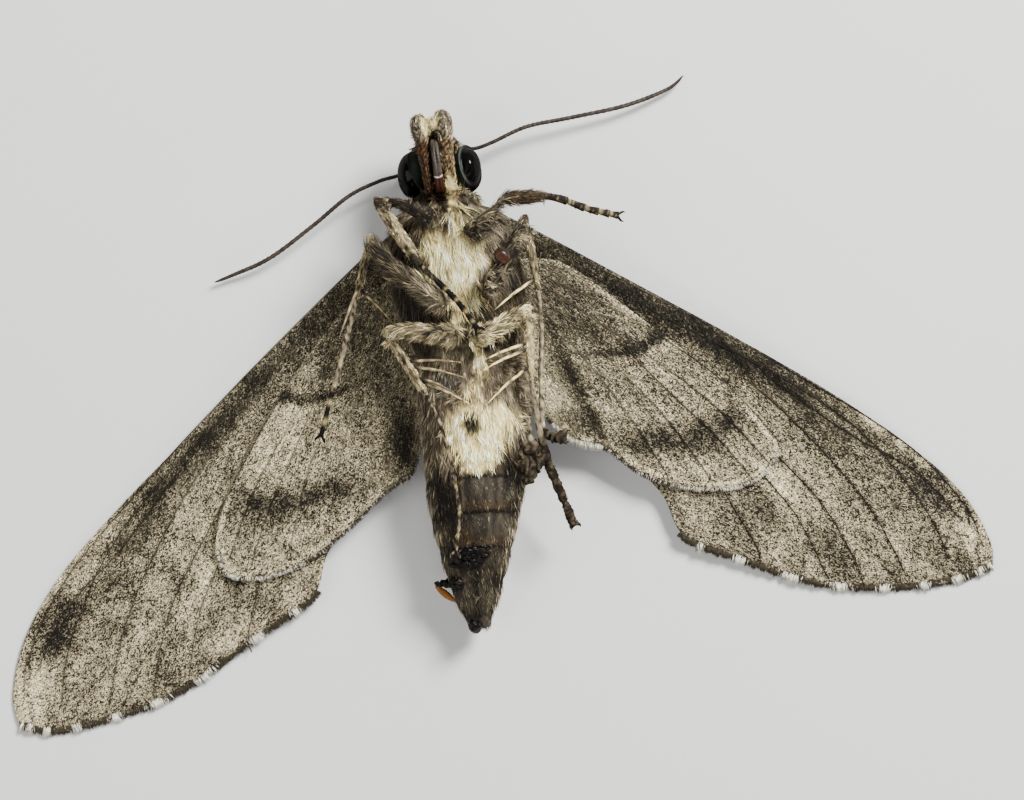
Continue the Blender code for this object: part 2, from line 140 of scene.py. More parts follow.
HINDWING_UNDER = (
    (0.20, -0.04, 0.22, 0.09, 5, -0.30), (0.58, -0.05, 0.16, 0.07, 4, 0.14),
    (0.45, -0.118, 0.032, 0.030, 0, -0.80), (0.30, -0.130, 0.13, 0.012, 0, 0.34),
    (0.80, -0.010, 0.050, 0.058, 10, -0.40), (0.69, 0.140, 0.12, 0.048, -35, -0.34),
    (0.76, 0.070, 0.06, 0.055, -20, -0.30),
    (0.59, 0.220, 0.09, 0.045, -40, -0.30), (0.93, 0.03, 0.045, 0.08, 10, 0.05),
    (0.80, 0.185, 0.10, 0.028, -35, 0.08), (0.36, 0.10, 0.07, 0.05, 0, -0.06),
)
# Marks that only one side has.
OWN_MARKS = {
    ("fore", LEFT): ((0.93, 0.035, 0.05, 0.03, 20, -0.08), (0.75, 0.03, 0.2, 0.05, 10, -0.04),
                     (0.24, -0.058, 0.32, 0.030, -5, -0.20), (0.80, -0.050, 0.10, 0.05, 5, -0.10),
                     (0.63, 0.20, 0.08, 0.05, 0, -0.10), (0.72, 0.02, 0.10, 0.05, 0, 0.07),
                     (0.685, -0.083, 0.024, 0.009, 0, 0.60), (0.745, -0.084, 0.017, 0.008, 0, 0.60),
                     (0.795, -0.080, 0.020, 0.007, 3, 0.45)),
    ("fore", RIGHT): ((0.945, -0.005, 0.065, 0.04, 20, 0.22), (0.825, -0.040, 0.045, 0.026, 0, -0.20),
                      (0.55, 0.0, 0.10, 0.04, 0, 0.12), (0.70, -0.075, 0.07, 0.020, 0, 0.22),
                      (0.64, 0.070, 0.04, 0.022, 0, -0.16), (0.76, 0.055, 0.05, 0.03, 20, 0.10),
                      (0.72, 0.10, 0.12, 0.08, 20, 0.04), (0.33, -0.035, 0.25, 0.05, -5, 0.09)),
    ("hind", LEFT): ((0.255, 0.245, 0.055, 0.040, 26, 0.75), (0.385, 0.275, 0.075, 0.026, 20, -0.12),
                     (0.33, 0.185, 0.22, 0.024, 32, -0.50), (0.13, 0.14, 0.13, 0.028, 43, 0.26),
                     (0.62, -0.070, 0.12, 0.06, 0, -0.22), (0.41, -0.03, 0.040, 0.040, 0, -0.30),
                     (0.14, 0.00, 0.08, 0.06, 5, -0.06)),
    ("hind", RIGHT): ((0.34, 0.29, 0.12, 0.045, 35, -0.60), (0.17, 0.12, 0.13, 0.06, 38, -0.22),
                      (0.50, 0.03, 0.2, 0.13, 0, 0.10), (0.87, 0.035, 0.06, 0.06, 0, -0.12)),
}
FOREWING_UPPER = (
    (0.10, 0.02, 0.10, 0.05, 0, -0.10), (0.45, 0.00, 0.018, 0.012, 0, 0.45),
    (0.55, 0.015, 0.13, 0.007, 8, -0.34), (0.62, 0.055, 0.12, 0.007, 14, -0.34),
    (0.90, -0.020, 0.09, 0.007, 20, -0.40), (0.35, 0.09, 0.18, 0.03, 20, -0.10),
    (0.75, 0.06, 0.12, 0.05, 15, 0.10), (0.30, -0.03, 0.2, 0.02, 0, 0.08),
)
HINDWING_UPPER = ((0.5, 0.0, 0.6, 0.5, 0, -0.27), (0.42, 0.27, 0.16, 0.06, 15, 0.34))
WING_MARKS = {("fore", False): FOREWING_UNDER, ("hind", False): HINDWING_UNDER,
              ("fore", True): FOREWING_UPPER, ("hind", True): HINDWING_UPPER}
# Zigzag lines across the upper faces, as shares of the length.
UPPER_LINES = {"fore": (0.22, 0.60, 0.66), "hind": (0.55,)}
# A dark line just inside the outer margin, and a pale one inside that.
RIM_DARK = {"fore": 0.30, "hind": 0.10}
RIM_PALE = {("hind", LEFT): 0.36, ("hind", RIGHT): 0.22}
# How pale the wings are where there is no mark, from 0 to 1, and how that turns into the share
# of pale scales and the brightness of all of them.
PALENESS = {("fore", False): 0.61, ("hind", False): 0.67, ("fore", True): 0.58, ("hind", True): 0.55}
PALE_SHARE = (0.08, 0.54)
PALE_TONE = (0.13, 1.17)
UPPER_SCALES = 0.42  # how many scales the hidden upper face has for each on the under face
VEIN_STRENGTH = {LEFT: (1.0, 1.0), RIGHT: (0.5, 0.55)}  # of their shadow and of their ridge

# How each wing is made: the steps of its grid, how far that stays inside the outline, the area
# of one face in square millimetres, and how hairy its root is.
MEMBRANE_STEPS = {"fore": (170, 60), "hind": (110, 70)}
MEMBRANE_INSET = {"fore": 0.012, "hind": 0.014}
WING_AREA = {"fore": 1000, "hind": 420}
HAIRY_FALL = {"fore": 2.2, "hind": 1.6}
# The fringe: where the outer margin starts on the rear edge, the number of long scales, their
# length against the full one, how deep they are rooted, and where the white spots lie.
MARGIN_START = {"fore": 0.43, "hind": 0.0}
FRINGE_COUNT = {"fore": 5600, "hind": 2600}
FRINGE_REACH = {"fore": 1.0, "hind": 0.42}
FRINGE_DEPTH = {"fore": 1.0, "hind": 0.55}
FRINGE_WHITE = {"fore": 0.76, "hind": 0.60}
FRINGE_SPOTS = (0.0, 0.075, 0.17, 0.285, 0.40, 0.52, 0.645, 0.78, 0.9)

# Veins in the wing's own measure.
FOREWING_VEINS = (
    ((0.0, -0.005), (0.3, -0.050), (0.55, -0.078), (0.76, -0.088), (0.90, -0.060), (0.965, -0.020)),
    ((0.0, 0.0), (0.25, -0.02), (0.5, -0.055), (0.665, -0.061), (0.795, -0.033), (0.87, -0.005),
     (0.93, 0.032)),
    ((0.5, -0.045), (0.66, -0.045), (0.80, -0.058), (0.91, -0.035)),
    ((0.45, -0.02), (0.555, -0.010), (0.70, 0.018), (0.795, 0.050), (0.887, 0.098)),
    ((0.47, 0.04), (0.60, 0.060), (0.70, 0.082), (0.80, 0.128), (0.842, 0.158)),
    ((0.45, 0.070), (0.61, 0.105), (0.684, 0.128), (0.780, 0.180)),
    ((0.0, 0.01), (0.22, 0.050), (0.40, 0.100), (0.555, 0.165), (0.647, 0.207), (0.67, 0.23)),
    ((0.0, 0.03), (0.2, 0.098), (0.38, 0.170), (0.52, 0.240)),
)
HINDWING_VEINS = (
    ((0.0, -0.07), (0.35, -0.11), (0.7, -0.10), (0.98, -0.03)),
    ((0.0, -0.05), (0.35, -0.04), (0.7, -0.02), (1.0, 0.05)),
    ((0.3, -0.04), (0.55, 0.02), (0.8, 0.07), (0.96, 0.12)),
    ((0.0, -0.02), (0.3, 0.03), (0.6, 0.10), (0.86, 0.20)),
    ((0.0, 0.0), (0.25, 0.07), (0.5, 0.16), (0.72, 0.26)),
    ((0.0, 0.02), (0.2, 0.11), (0.38, 0.21), (0.55, 0.30)),
)
VEINS = {"fore": FOREWING_VEINS, "hind": HINDWING_VEINS}

LEGS = {
    "foreleg_right": {
        "hip": (-1.9, 5.9, 9.0), "knee": (-6.1, 7.7, 8.2), "ankle": (-2.6, 1.5, 10.3),
        "foot": ((-1.1, -0.2, 11.1), (0.3, -1.9, 11.6), (1.7, -4.2, 11.7)),
        "radii": (0.62, 0.78, 0.34), "bow": (0.0, 0.3, 0.3), "coxa": (-1.2, 4.6, 6.2),
    },
    "foreleg_left": {
        "hip": (2.0, 4.3, 9.4), "knee": (4.7, 6.8, 8.6), "ankle": (8.4, 6.8, 8.0),
        "foot": ((9.9, 6.4, 7.6), (12.2, 5.4, 6.9), (14.7, 4.7, 6.2)),
        "radii": (0.6, 0.82, 0.36), "bow": (0.3, 0.0, 0.2), "coxa": (1.2, 3.6, 6.6),
    },
    "midleg_right": {
        "hip": (-1.5, -1.3, 10.5), "knee": (-6.9, 4.4, 8.1), "ankle": (-8.6, -0.6, 6.3),
        "foot": ((-9.6, -3.3, 5.7), (-10.8, -6.6, 5.1), (-11.7, -8.9, 4.8), (-12.9, -12.2, 4.3)),
        "radii": (0.98, 0.52, 0.3), "bow": (-0.5, -0.3, 0.3), "coxa": (-0.9, -1.4, 7.0),
    },
    "midleg_left": {
        "hip": (3.0, -0.4, 10.2), "knee": (6.6, 5.1, 8.0), "ankle": (7.2, -1.2, 6.7),
        "foot": ((7.2, -4.6, 5.4), (6.8, -8.6, 5.1), (6.6, -12.4, 5.0), (7.0, -13.9, 5.0),
                 (8.2, -14.1, 5.2)),
        "radii": (0.9, 0.55, 0.36), "bow": (0.4, 0.0, 0.2), "coxa": (2.2, -0.8, 6.8),
    },
    "hindleg_right": {
        "hip": (-0.9, -4.5, 10.0), "knee": (-6.2, -3.7, 8.4), "ankle": (-3.2, -9.4, 9.4),
        "foot": ((-2.4, -11.4, 9.5), (-1.8, -14.0, 9.2), (-1.4, -17.0, 8.6), (-1.3, -20.0, 8.0),
                 (-1.9, -23.2, 7.1)),
        "radii": (0.92, 0.6, 0.3), "bow": (-0.3, 0.2, 0.2), "coxa": (-0.3, -4.0, 7.2),
    },
    "hindleg_left": {
        "hip": (1.7, -4.9, 9.9), "knee": (6.2, -2.7, 8.4), "ankle": (5.9, -8.8, 8.2),
        "foot": ((6.1, -11.6, 7.1), (6.4, -14.4, 6.3), (7.1, -17.3, 5.6), (8.0, -20.1, 4.7),
                 (8.6, -21.8, 4.2)),
        "radii": (0.9, 0.6, 0.38), "bow": (0.3, 0.0, 0.2), "coxa": (1.2, -4.3, 7.2),
    },
}
# The solids that the skin stands for, by number: the trunk's first, then two for each leg.
TRUNK_NAMES = ["thorax", "abdomen", "head", "palp_left", "palp_right"]
THORAX, ABDOMEN, HEAD, *PALPS = range(len(TRUNK_NAMES))
FIRST_LEG = len(TRUNK_NAMES)
PART_NAMES = TRUNK_NAMES + [f"{leg}_{part}" for leg in LEGS for part in ("femur", "tibia")]

SPURS = {
    "midleg_right": ((0.84, (-5.6, -3.0, 7.1)), (0.76, (-10.3, -3.9, 7.9))),
    "midleg_left": ((0.84, (3.2, -2.8, 10.3)),),
    "hindleg_right": ((0.50, (0.0, -6.9, 9.8)), (0.58, (0.4, -8.3, 9.9)),
                      (0.76, (-0.7, -9.5, 10.4)), (0.80, (1.0, -10.9, 10.1))),
    "hindleg_left": ((0.50, (1.8, -7.0, 9.9)), (0.58, (1.4, -8.0, 9.9)), (0.84, (1.9, -10.7, 9.4))),
}
HIP_RADIUS = 0.85
SKIN_VOXEL = 0.15
# How pale each foot is, and the share of its length where it turns black.
FOOT_TONES = {"foreleg_right": (-0.1, 0.25), "foreleg_left": (-0.12, 1.1), "midleg_right": (0.34, 0.66),
              "midleg_left": (0.40, 1.1), "hindleg_right": (0.12, 1.1), "hindleg_left": (0.40, 1.1)}
FOOT_FULLNESS = {"foreleg_left": 1.25, "hindleg_right": 0.72, "midleg_left": 0.8, "hindleg_left": 0.95}
# Dried dirt on the feet: how much it thickens them, and from which share of their length on.
FOOT_DIRT = {"midleg_left": (0.34, 0.66), "hindleg_left": (0.22, 0.36)}
# How pale each part of a leg is, how far that pale leans to cream, and how long its hair is.
LEG_TONES = {
    # the right foreleg's femur is the darkest: its own dark hair, deepened by painted shade between the knee
    # and the collar
    "foreleg_right_femur": (-0.25, 0.0, 0.60), "foreleg_right_tibia": (0.42, 0.25, 0.50),
    "foreleg_left_femur": (0.06, 0.2, 1.10), "foreleg_left_tibia": (0.02, 0.1, 0.85),
    "midleg_right_femur": (0.10, 0.3, 1.30), "midleg_right_tibia": (0.36, 0.3, 0.50),
    "midleg_left_femur": (0.06, 0.1, 0.95), "midleg_left_tibia": (0.38, 0.25, 0.45),
    "hindleg_right_femur": (0.42, 0.25, 0.95), "hindleg_right_tibia": (0.42, 0.35, 0.50),
    "hindleg_left_femur": (0.26, 0.3, 0.95), "hindleg_left_tibia": (0.64, 0.4, 0.45),
}
# Length, width and lift of the hair on head and palps; width and lift of it on the legs.
HEAD_HAIR, PALP_HAIR = (0.70, 0.075, 0.36), (0.40, 0.060, 0.45)
FEMUR_HAIR, TIBIA_HAIR = (0.070, 0.28), (0.065, 0.20)
# How the hair on some of the legs hangs away from the leg.
FALLING_HAIR = {
    "hindleg_right_femur": (0.0, -0.75, -0.2), "hindleg_left_femur": (0.0, -0.75, -0.2),
    "foreleg_left_femur": (0.3, -1.5, -0.3), "midleg_left_femur": (0.2, -1.3, -0.2),
    "midleg_right_femur": (0.3, -0.5, 0.0),
}
BOSS_CENTRE = (4.3, 1.75, 10.55)
BOSS_SIZE = (0.74, 0.78, 0.68)
BOSS_BROWN = (0.026, 0.0095, 0.0050)
FOOT_JOINTS = np.array((0, 0.42, 0.62, 0.77, 0.88, 1.0))  # where they end, as shares of the foot
CLOD_CENTRE = (5.3, -15.9, 6.3)  # of the dirt on the left hind foot
LOCK_SHARE = 0.12  # locks of hair for each tuft
LOCK_PULL = 0.85
LEG_SKIN_SHARE = 0.84  # of the leg's radius inside its scales

HEAD_MIDDLE_X = -0.45
PALP_SIDE = ((0.30, 13.2, 8.2), (0.25, 12.0, 8.55), (0.25, 10.4, 8.5), (0.42, 8.0, 7.9))
EYE_SIZE = (1.35, 2.1, 2.25)
EYE_SPREAD = 2.42
EYE_CENTRE_Y = {LEFT: 10.05, RIGHT: 9.85}
EYE_CENTRE_Z = 4.7
# The dried, sunk part of each eye: the way it faces, the edge where it begins, and its depth.
EYE_DISCS = {LEFT: ((0.674, 0.256, 0.693), 0.34, 0.12), RIGHT: ((-0.823, -0.376, -0.426), -0.41, 0.035)}
EYE_RIM, EYE_DRY = (0.027, 0.032, 0.026), (0.0022, 0.002, 0.0022)
TONGUE_CENTRE = (-0.57, 10.4, 7.95)
TONGUE_SLANT = -0.045
TONGUE_COIL = (2.45, 0.75)
TONGUE_FLATTENING = 0.52
TONGUE_TURNS = 2.0
TONGUE_BREADTH = 1.3
TONGUE_BEND = 9.08  # where the pale ring lies
TONGUE_DARK, TONGUE_SHINE = (0.010, 0.0075, 0.0060), (0.033, 0.026, 0.020)
TONGUE_ROOT, TONGUE_RING = (0.019, 0.0058, 0.0034), (0.60, 0.55, 0.47)
ANTENNAE = {
    LEFT: ((1.2, 12.2, 1.6), (2.8, 12.1, 1.7), (4.4, 12.5, 1.9), (7.5, 13.6, 1.9), (11.5, 14.1, 1.6),
           (16.5, 14.8, 1.2), (20.4, 16.0, 0.8), (21.9, 17.1, 0.7)),
    RIGHT: ((-2.0, 11.5, 1.5), (-3.9, 10.4, 1.6), (-6.0, 9.9, 1.9), (-8.8, 8.8, 2.0), (-12.2, 6.5, 1.7),
            (-16.3, 4.0, 1.3), (-19.8, 2.8, 0.8), (-21.5, 2.3, 0.7)),
}
# Feelers: number of joints, half thickness at shares of the length, and colour.
FEELER_JOINTS = 64
FEELER_SHAPE = ((0, 0.03, 0.12, 0.5, 0.78, 0.93, 0.975, 1.0),
                (0.22, 0.25, 0.17, 0.19, 0.20, 0.14, 0.08, 0.03))
FEELER_BROWN = (0.010, 0.0062, 0.0042)
# y, x of the body's middle
BODY_LINE = ((12.9, -1.1), (10.2, -0.6), (3.1, 0.1), (-1.4, 0.3), (-5.8, 0.75), (-13.7, 0.7),
             (-19.0, 0.2), (-24.3, -0.25), (-30.7, -0.6))
RING_START, RING_SPACING = 1.3, 3.1  # the rings of the abdomen

# The stage, in metres: lamps have a name, place, size and share of the key light's power.
FLOOR_SIZE = 4.0
SKY_COLOUR, SKY_STRENGTH = (0.93, 0.95, 1.0, 1.0), 0.28
LAMPS = (("key", (0.24, 0.22, 0.28), 0.14, 1.0), ("fill", (-0.26, -0.02, 0.26), 0.30, 0.15),
         ("back", (0.02, -0.30, 0.18), 0.22, 0.10))
LIT_SPOT = (0.004, -0.010, 0.0)
CAMERA_SPOT = (0.0041, -0.0105)

# Linear colours of hairs and scales.
CREAM = np.array((0.96, 0.77, 0.34))
TAN = np.array((0.28, 0.180, 0.080))
PALE_GREY = np.array((0.28, 0.230, 0.145))
GREY_BROWN = np.array((0.070, 0.053, 0.031))
DARK = np.array((0.0090, 0.0066, 0.0040))
BLACK = np.array((0.0018, 0.0015, 0.0013))
SLATE = np.array((0.046, 0.040, 0.029))
TUFT_BROWN = np.array((0.085, 0.050, 0.021))
WHITE_SCALE = np.array((0.70, 0.66, 0.54))

# Marks on the belly side: x, y, half length along the body, half breadth, turn in degrees,
# colour and strength. Later ones lie over earlier ones.
CHEST_MARKS = (
    (-3.1, 6.2, 1.3, 1.3, 0, GREY_BROWN * 1.7, 0.8), (2.6, 5.3, 1.9, 1.7, 0, DARK, 0.65),
    (2.2, 6.0, 1.3, 0.35, -30, PALE_GREY, 0.9), (3.3, 5.4, 1.2, 0.30, -25, PALE_GREY, 0.8),
    (3.7, 4.6, 1.2, 0.5, -20, PALE_GREY, 0.55), (2.0, 3.6, 1.0, 0.6, 0, PALE_GREY, 0.6),
    (0.45, 1.9, 3.1, 2.3, 0, CREAM, 1.0), (0.95, 4.6, 1.5, 0.75, 10, CREAM, 0.85),
    (-1.6, 3.9, 1.0, 0.9, 0, CREAM, 0.5), (0.45, 6.7, 1.7, 0.36, -8, CREAM, 0.9),
    (0.50, -0.6, 0.45, 0.9, 0, TAN, 0.8), (0.50, -2.0, 2.0, 0.40, -27, CREAM, 0.9),
    (-0.95, 6.3, 1.1, 0.85, 25, TUFT_BROWN * 0.35, 0.8), (-0.1, 4.9, 0.8, 0.5, 35, TUFT_BROWN * 0.8, 0.6),
    (3.5, -0.4, 2.2, 1.4, 0, GREY_BROWN * 1.3, 0.75), (4.8, 0.3, 0.5, 0.4, 0, BLACK, 0.7),
    # the two long dark strips at x -4.6 and 5.2 are painted shadow where the legs and wing bases shade the
    # sides of the chest
    (-4.6, 1.5, 5.0, 1.5, 0, DARK, 0.85), (5.2, 2.0, 4.0, 1.0, 0, DARK, 0.5),
    (-0.9, -5.9, 0.8, 1.6, 0, PALE_GREY, 0.8),
)
ABDOMEN_MARKS = (
    (-0.9, -6.2, 0.9, 1.6, 0, PALE_GREY, 0.8),
    (1.7, -7.0, 1.5, 0.5, 0, CREAM, 0.8), (-1.5, -8.3, 0.8, 1.3, 0, np.array((0.062, 0.058, 0.048)), 0.8),
    (3.1, -8.0, 1.7, 1.5, 0, GREY_BROWN * 1.4, 0.7), (-1.4, -10.2, 0.6, 1.5, 0, GREY_BROWN * 1.8, 0.7),
    (0.9, -9.3, 0.9, 0.7, 0, CREAM, 0.5),
    (4.3, -12.6, 2.0, 1.1, 0, PALE_GREY, 0.8), (-3.6, -12.0, 3.5, 1.0, 0, GREY_BROWN, 0.8),
    (1.35, -12.1, 1.5, 3.1, 0, CREAM, 1.0), (1.05, -13.7, 1.5, 2.3, 0, CREAM, 1.0),
    (0.85, -15.1, 1.3, 1.5, 0, CREAM, 1.0), (4.0, -15.5, 2.1, 1.35, 0, DARK * 1.5, 0.92),
    (0.50, -12.0, 0.95, 0.80, 10, BLACK, 1.0),
)
REAR_MARKS = (
    # the first mark darkens the rear's -X side: its own darker colour, deepened by painted shade on the side
    # away from the key light
    (-3.0, -19.5, 4.0, 1.9, 0, DARK * 0.9, 0.93), (3.6, -17.3, 1.0, 0.9, 0, BLACK, 0.8),
    (3.6, -20.5, 1.5, 0.5, 0, DARK, 0.7),
    (3.0, -24.0, 2.0, 0.40, 8, PALE_GREY, 0.6), (-0.9, -22.1, 0.8, 0.5, 0, TUFT_BROWN * 0.7, 0.7),
    (-2.6, -24.5, 1.5, 0.7, 0, BLACK, 0.8), (0.3, -26.5, 1.8, 1.4, 0, GREY_BROWN * 0.5, 0.7),
    (-0.8, -27.3, 1.0, 0.7, 0, TUFT_BROWN, 0.6), (-0.72, -29.9, 0.75, 0.75, 0, BLACK, 1.0),
)
# Where the rear of the abdomen is wet and black: x, y, half length, half breadth.
WET_MARKS = ((-0.9, -23.8, 0.85, 1.45), (0.55, -23.5, 0.50, 0.50), (-2.4, -26.1, 0.35, 0.8))

TIP_HOLE = (-0.72, -29.95, 3.45)
# The dried amber drop at the side of the abdomen.
DROP_START, DROP_END = np.array((-4.0, -26.5, 2.0)), np.array((-2.6, -27.8, 2.1))
AMBER = np.array((0.150, 0.060, 0.014))

# ------------------------------------------------------------------ numbers and shapes


def rows_at(rows, shares):
    """Places at these shares, 0 to 1, of a smooth curve through all the rows."""
    rows, shares = np.asarray(rows, float), np.asarray(shares, float)
    at = np.clip(shares, 0, 1) * (len(rows) - 1)
    i = np.minimum(at.astype(int), len(rows) - 2)
    t = (at - i)[:, None]
    b, a, c, d = (rows[np.clip(i + k, 0, len(rows) - 1)] for k in (-1, 0, 1, 2))
    square, cube = 2 * b - 5 * a + 4 * c - d, 3 * a - b - 3 * c + d
    return 0.5 * (2 * a + (c - b) * t + square * t * t + cube * t ** 3)


def ramp(value, low, high):
    """0 below low, 1 above high, smooth between."""
    t = np.clip((np.asarray(value, float) - low) / (high - low), 0, 1)
    return t * t * (3 - 2 * t)


def bump_at(value, middle, breadth):
    return np.exp(-((value - middle) / breadth) ** 2)


def ripple(points, size, seed):
    """Smooth noise, about -1 to 1, with features of this size."""
    rng = np.random.default_rng(seed)
    total = np.zeros(len(points))
    for _ in range(8):
        way = rng.normal(size=points.shape[1])
        way *= rng.uniform(0.6, 1.7) * math.pi / (size * np.linalg.norm(way))
        total += np.cos(points @ way + rng.uniform(0, 6.28))
    return total / 3.2


def unit(rows):
    return rows / np.maximum(np.linalg.norm(rows, axis=-1, keepdims=True), 1e-9)


def laid(ways, normals):
    """Ways turned into the surface with these normals."""
    return ways - normals * np.sum(ways * normals, axis=1, keepdims=True)


def blend(colour, *layers):
    """A colour with tints laid over it in turn, each by its share."""
    for tint, share in layers:
        share = np.atleast_1d(np.clip(share, 0, 1))[:, None]
        colour = np.asarray(colour) * (1 - share) + np.asarray(tint) * share
    return colour


def nearest(rows, places):
    """For each place, the number of the row nearest to it, and how far that is."""
    tree = kdtree.KDTree(len(rows))
    for i, row in enumerate(rows):
        tree.insert(row, i)
    tree.balance()
    found = [tree.find(place) for place in places]
    return np.array([f[1] for f in found]), np.array([f[2] for f in found])


def oval(x, y, centre, half_long, half_wide, turn):
    """A soft oval patch, 1 inside and 0 outside. Its length runs along Y before it is turned."""
    c, s = math.cos(math.radians(turn)), math.sin(math.radians(turn))
    dx, dy = x - centre[0], y - centre[1]
    along, across = (dy * c - dx * s) / half_long, (dx * c + dy * s) / half_wide
    return ramp(-(along ** 2 + across ** 2), -1.55, -0.5)


def body_middle(y):
    ys, xs = np.array(BODY_LINE).T
    return np.interp(-y, -ys, xs)


# ------------------------------------------------------------------ Blender helpers


def nothing_selected():
    if bpy.context.object and bpy.context.object.mode != "OBJECT":
        bpy.ops.object.mode_set(mode="OBJECT")
    bpy.ops.object.select_all(action="DESELECT")


def take(*pieces):
    """Selects only these pieces; the first is the active one."""
    nothing_selected()
    for piece in pieces:
        piece.select_set(True)
    bpy.context.view_layer.objects.active = pieces[0]
    return pieces[0]


def added():
    return bpy.context.object


def apply_modifier(piece, kind, **settings):
    take(piece)
    modifier = piece.modifiers.new(kind.lower(), kind)
    for key, value in settings.items():
        setattr(modifier, key, value)
    bpy.ops.object.modifier_apply(modifier=modifier.name)


def face_outwards(merge=0.0):
    """Turns the active piece's faces outwards, after its doubles are merged where a distance is given."""
    bpy.ops.object.mode_set(mode="EDIT")
    bpy.ops.mesh.select_all(action="SELECT")
    if merge:
        bpy.ops.mesh.remove_doubles(threshold=merge)
    bpy.ops.mesh.normals_make_consistent(inside=False)
    bpy.ops.object.mode_set(mode="OBJECT")


def vectors_of(items, key):
    flat = np.empty(len(items) * 3, np.float32)
    items.foreach_get(key, flat)
    return flat.reshape(-1, 3).astype(float)


def points_of(piece):
    """A piece's points in millimetres."""
    return vectors_of(piece.data.vertices, "co") / MM


def set_points(piece, points):
    piece.data.vertices.foreach_set("co", (np.asarray(points, np.float32) * MM).ravel())
    piece.data.update()


def normals_of(piece):
    return vectors_of(piece.data.vertices, "normal")


def paint(piece, name, values):
    """A colour at every point, for the shader to read."""
    values = np.asarray(values, np.float32)
    rgba = np.ones((len(values), 4), np.float32)
    rgba[:, :values.shape[1]] = values
    layer = piece.data.color_attributes.new(name, "FLOAT_COLOR", "POINT")
    layer.data.foreach_set("color", rgba.ravel())


def joined(name, points, faces, uv=None):
    """One mesh object from arrays; faces all have the same number of corners."""
    mesh = bpy.data.meshes.new(name)
    corners = faces.shape[1]
    mesh.vertices.add(len(points))
    mesh.vertices.foreach_set("co", (np.asarray(points, np.float32) * MM).ravel())
    mesh.loops.add(faces.size)
    mesh.loops.foreach_set("vertex_index", faces.ravel().astype(np.int32))
    mesh.polygons.add(len(faces))
    mesh.polygons.foreach_set("loop_start", np.arange(0, faces.size, corners, dtype=np.int32))
    mesh.update(calc_edges=True)
    if uv is not None:
        layer = mesh.uv_layers.new(name="OFBake")
        layer.data.foreach_set("uv", uv[faces.ravel()].astype(np.float32).ravel())
    piece = bpy.data.objects.new(name, mesh)
    bpy.context.scene.collection.objects.link(piece)
    return piece


def finish(piece, material, slot, *nodes):
    """Gives a piece its material, hangs it on the root body and hides the parts it stands for."""
    piece.data.materials.clear()
    piece.data.materials.append(material)
    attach(piece, "root")
    if nodes:
        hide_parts(*nodes)


def tube(name, path, radii, sides=10, points=24):
    """A closed round tube along a smooth path; its radius follows the given ones."""
    nothing_selected()
    bpy.ops.curve.primitive_nurbs_path_add(radius=MM)
    piece = added()
    piece.name = name
    curve = piece.data
    curve.splines.clear()
    spline = curve.splines.new("POLY")
    shares = np.linspace(0, 1, points)
    places, sizes = rows_at(path, shares), rows_at([(r,) for r in radii], shares)[:, 0]
    spline.points.add(points - 1)
    rows = np.concatenate([places * MM, np.ones((points, 1))], axis=1)
    spline.points.foreach_set("co", rows.ravel())
    spline.points.foreach_set("radius", np.maximum(sizes, 1e-4))
    curve.dimensions = "3D"
    curve.bevel_depth = MM
    curve.bevel_resolution = max(sides // 2 - 2, 0)
    curve.use_fill_caps = True
    piece.location = (0, 0, 0)
    take(piece)
    bpy.ops.object.convert(target="MESH")
    face_outwards(merge=1e-6)
    bpy.ops.object.shade_smooth()
    return added()


def sphere(name, centre, size, segments=24, rings=14):
    nothing_selected()
    bpy.ops.mesh.primitive_uv_sphere_add(segments=segments, ring_count=rings, radius=MM, location=(0, 0, 0))
    piece = added()
    piece.name = name
    set_points(piece, points_of(piece) * np.array(size) + np.array(centre))
    bpy.ops.object.shade_smooth()
    return piece


def join(name, pieces):
    take(*pieces)
    if len(pieces) > 1:
        bpy.ops.object.join()
    piece = added()
    piece.name = name
    return piece


# ------------------------------------------------------------------ shader maths


class Value:
    """A shader socket that can be used in a Python expression."""

    def __init__(self, finish_, socket):
        self.finish, self.socket = finish_, socket

    def maths(self, operation, *values):
        return self.finish.node("ShaderNodeMath", {"operation": operation}, values)

    def __add__(self, other):
        return self.maths("ADD", self, other)

    def __sub__(self, other):
        return self.maths("SUBTRACT", self, other)

    def __rsub__(self, other):
        return self.maths("SUBTRACT", other, self)

    def __mul__(self, other):
        return self.maths("MULTIPLY", self, other)

    def __pow__(self, other):
        return self.maths("POWER", self, other)

    __radd__ = __add__
    __rmul__ = __mul__

    def within(self, low, high):
        return self.finish.node("ShaderNodeMapRange", {"interpolation_type": "SMOOTHSTEP"}, (self, low, high))


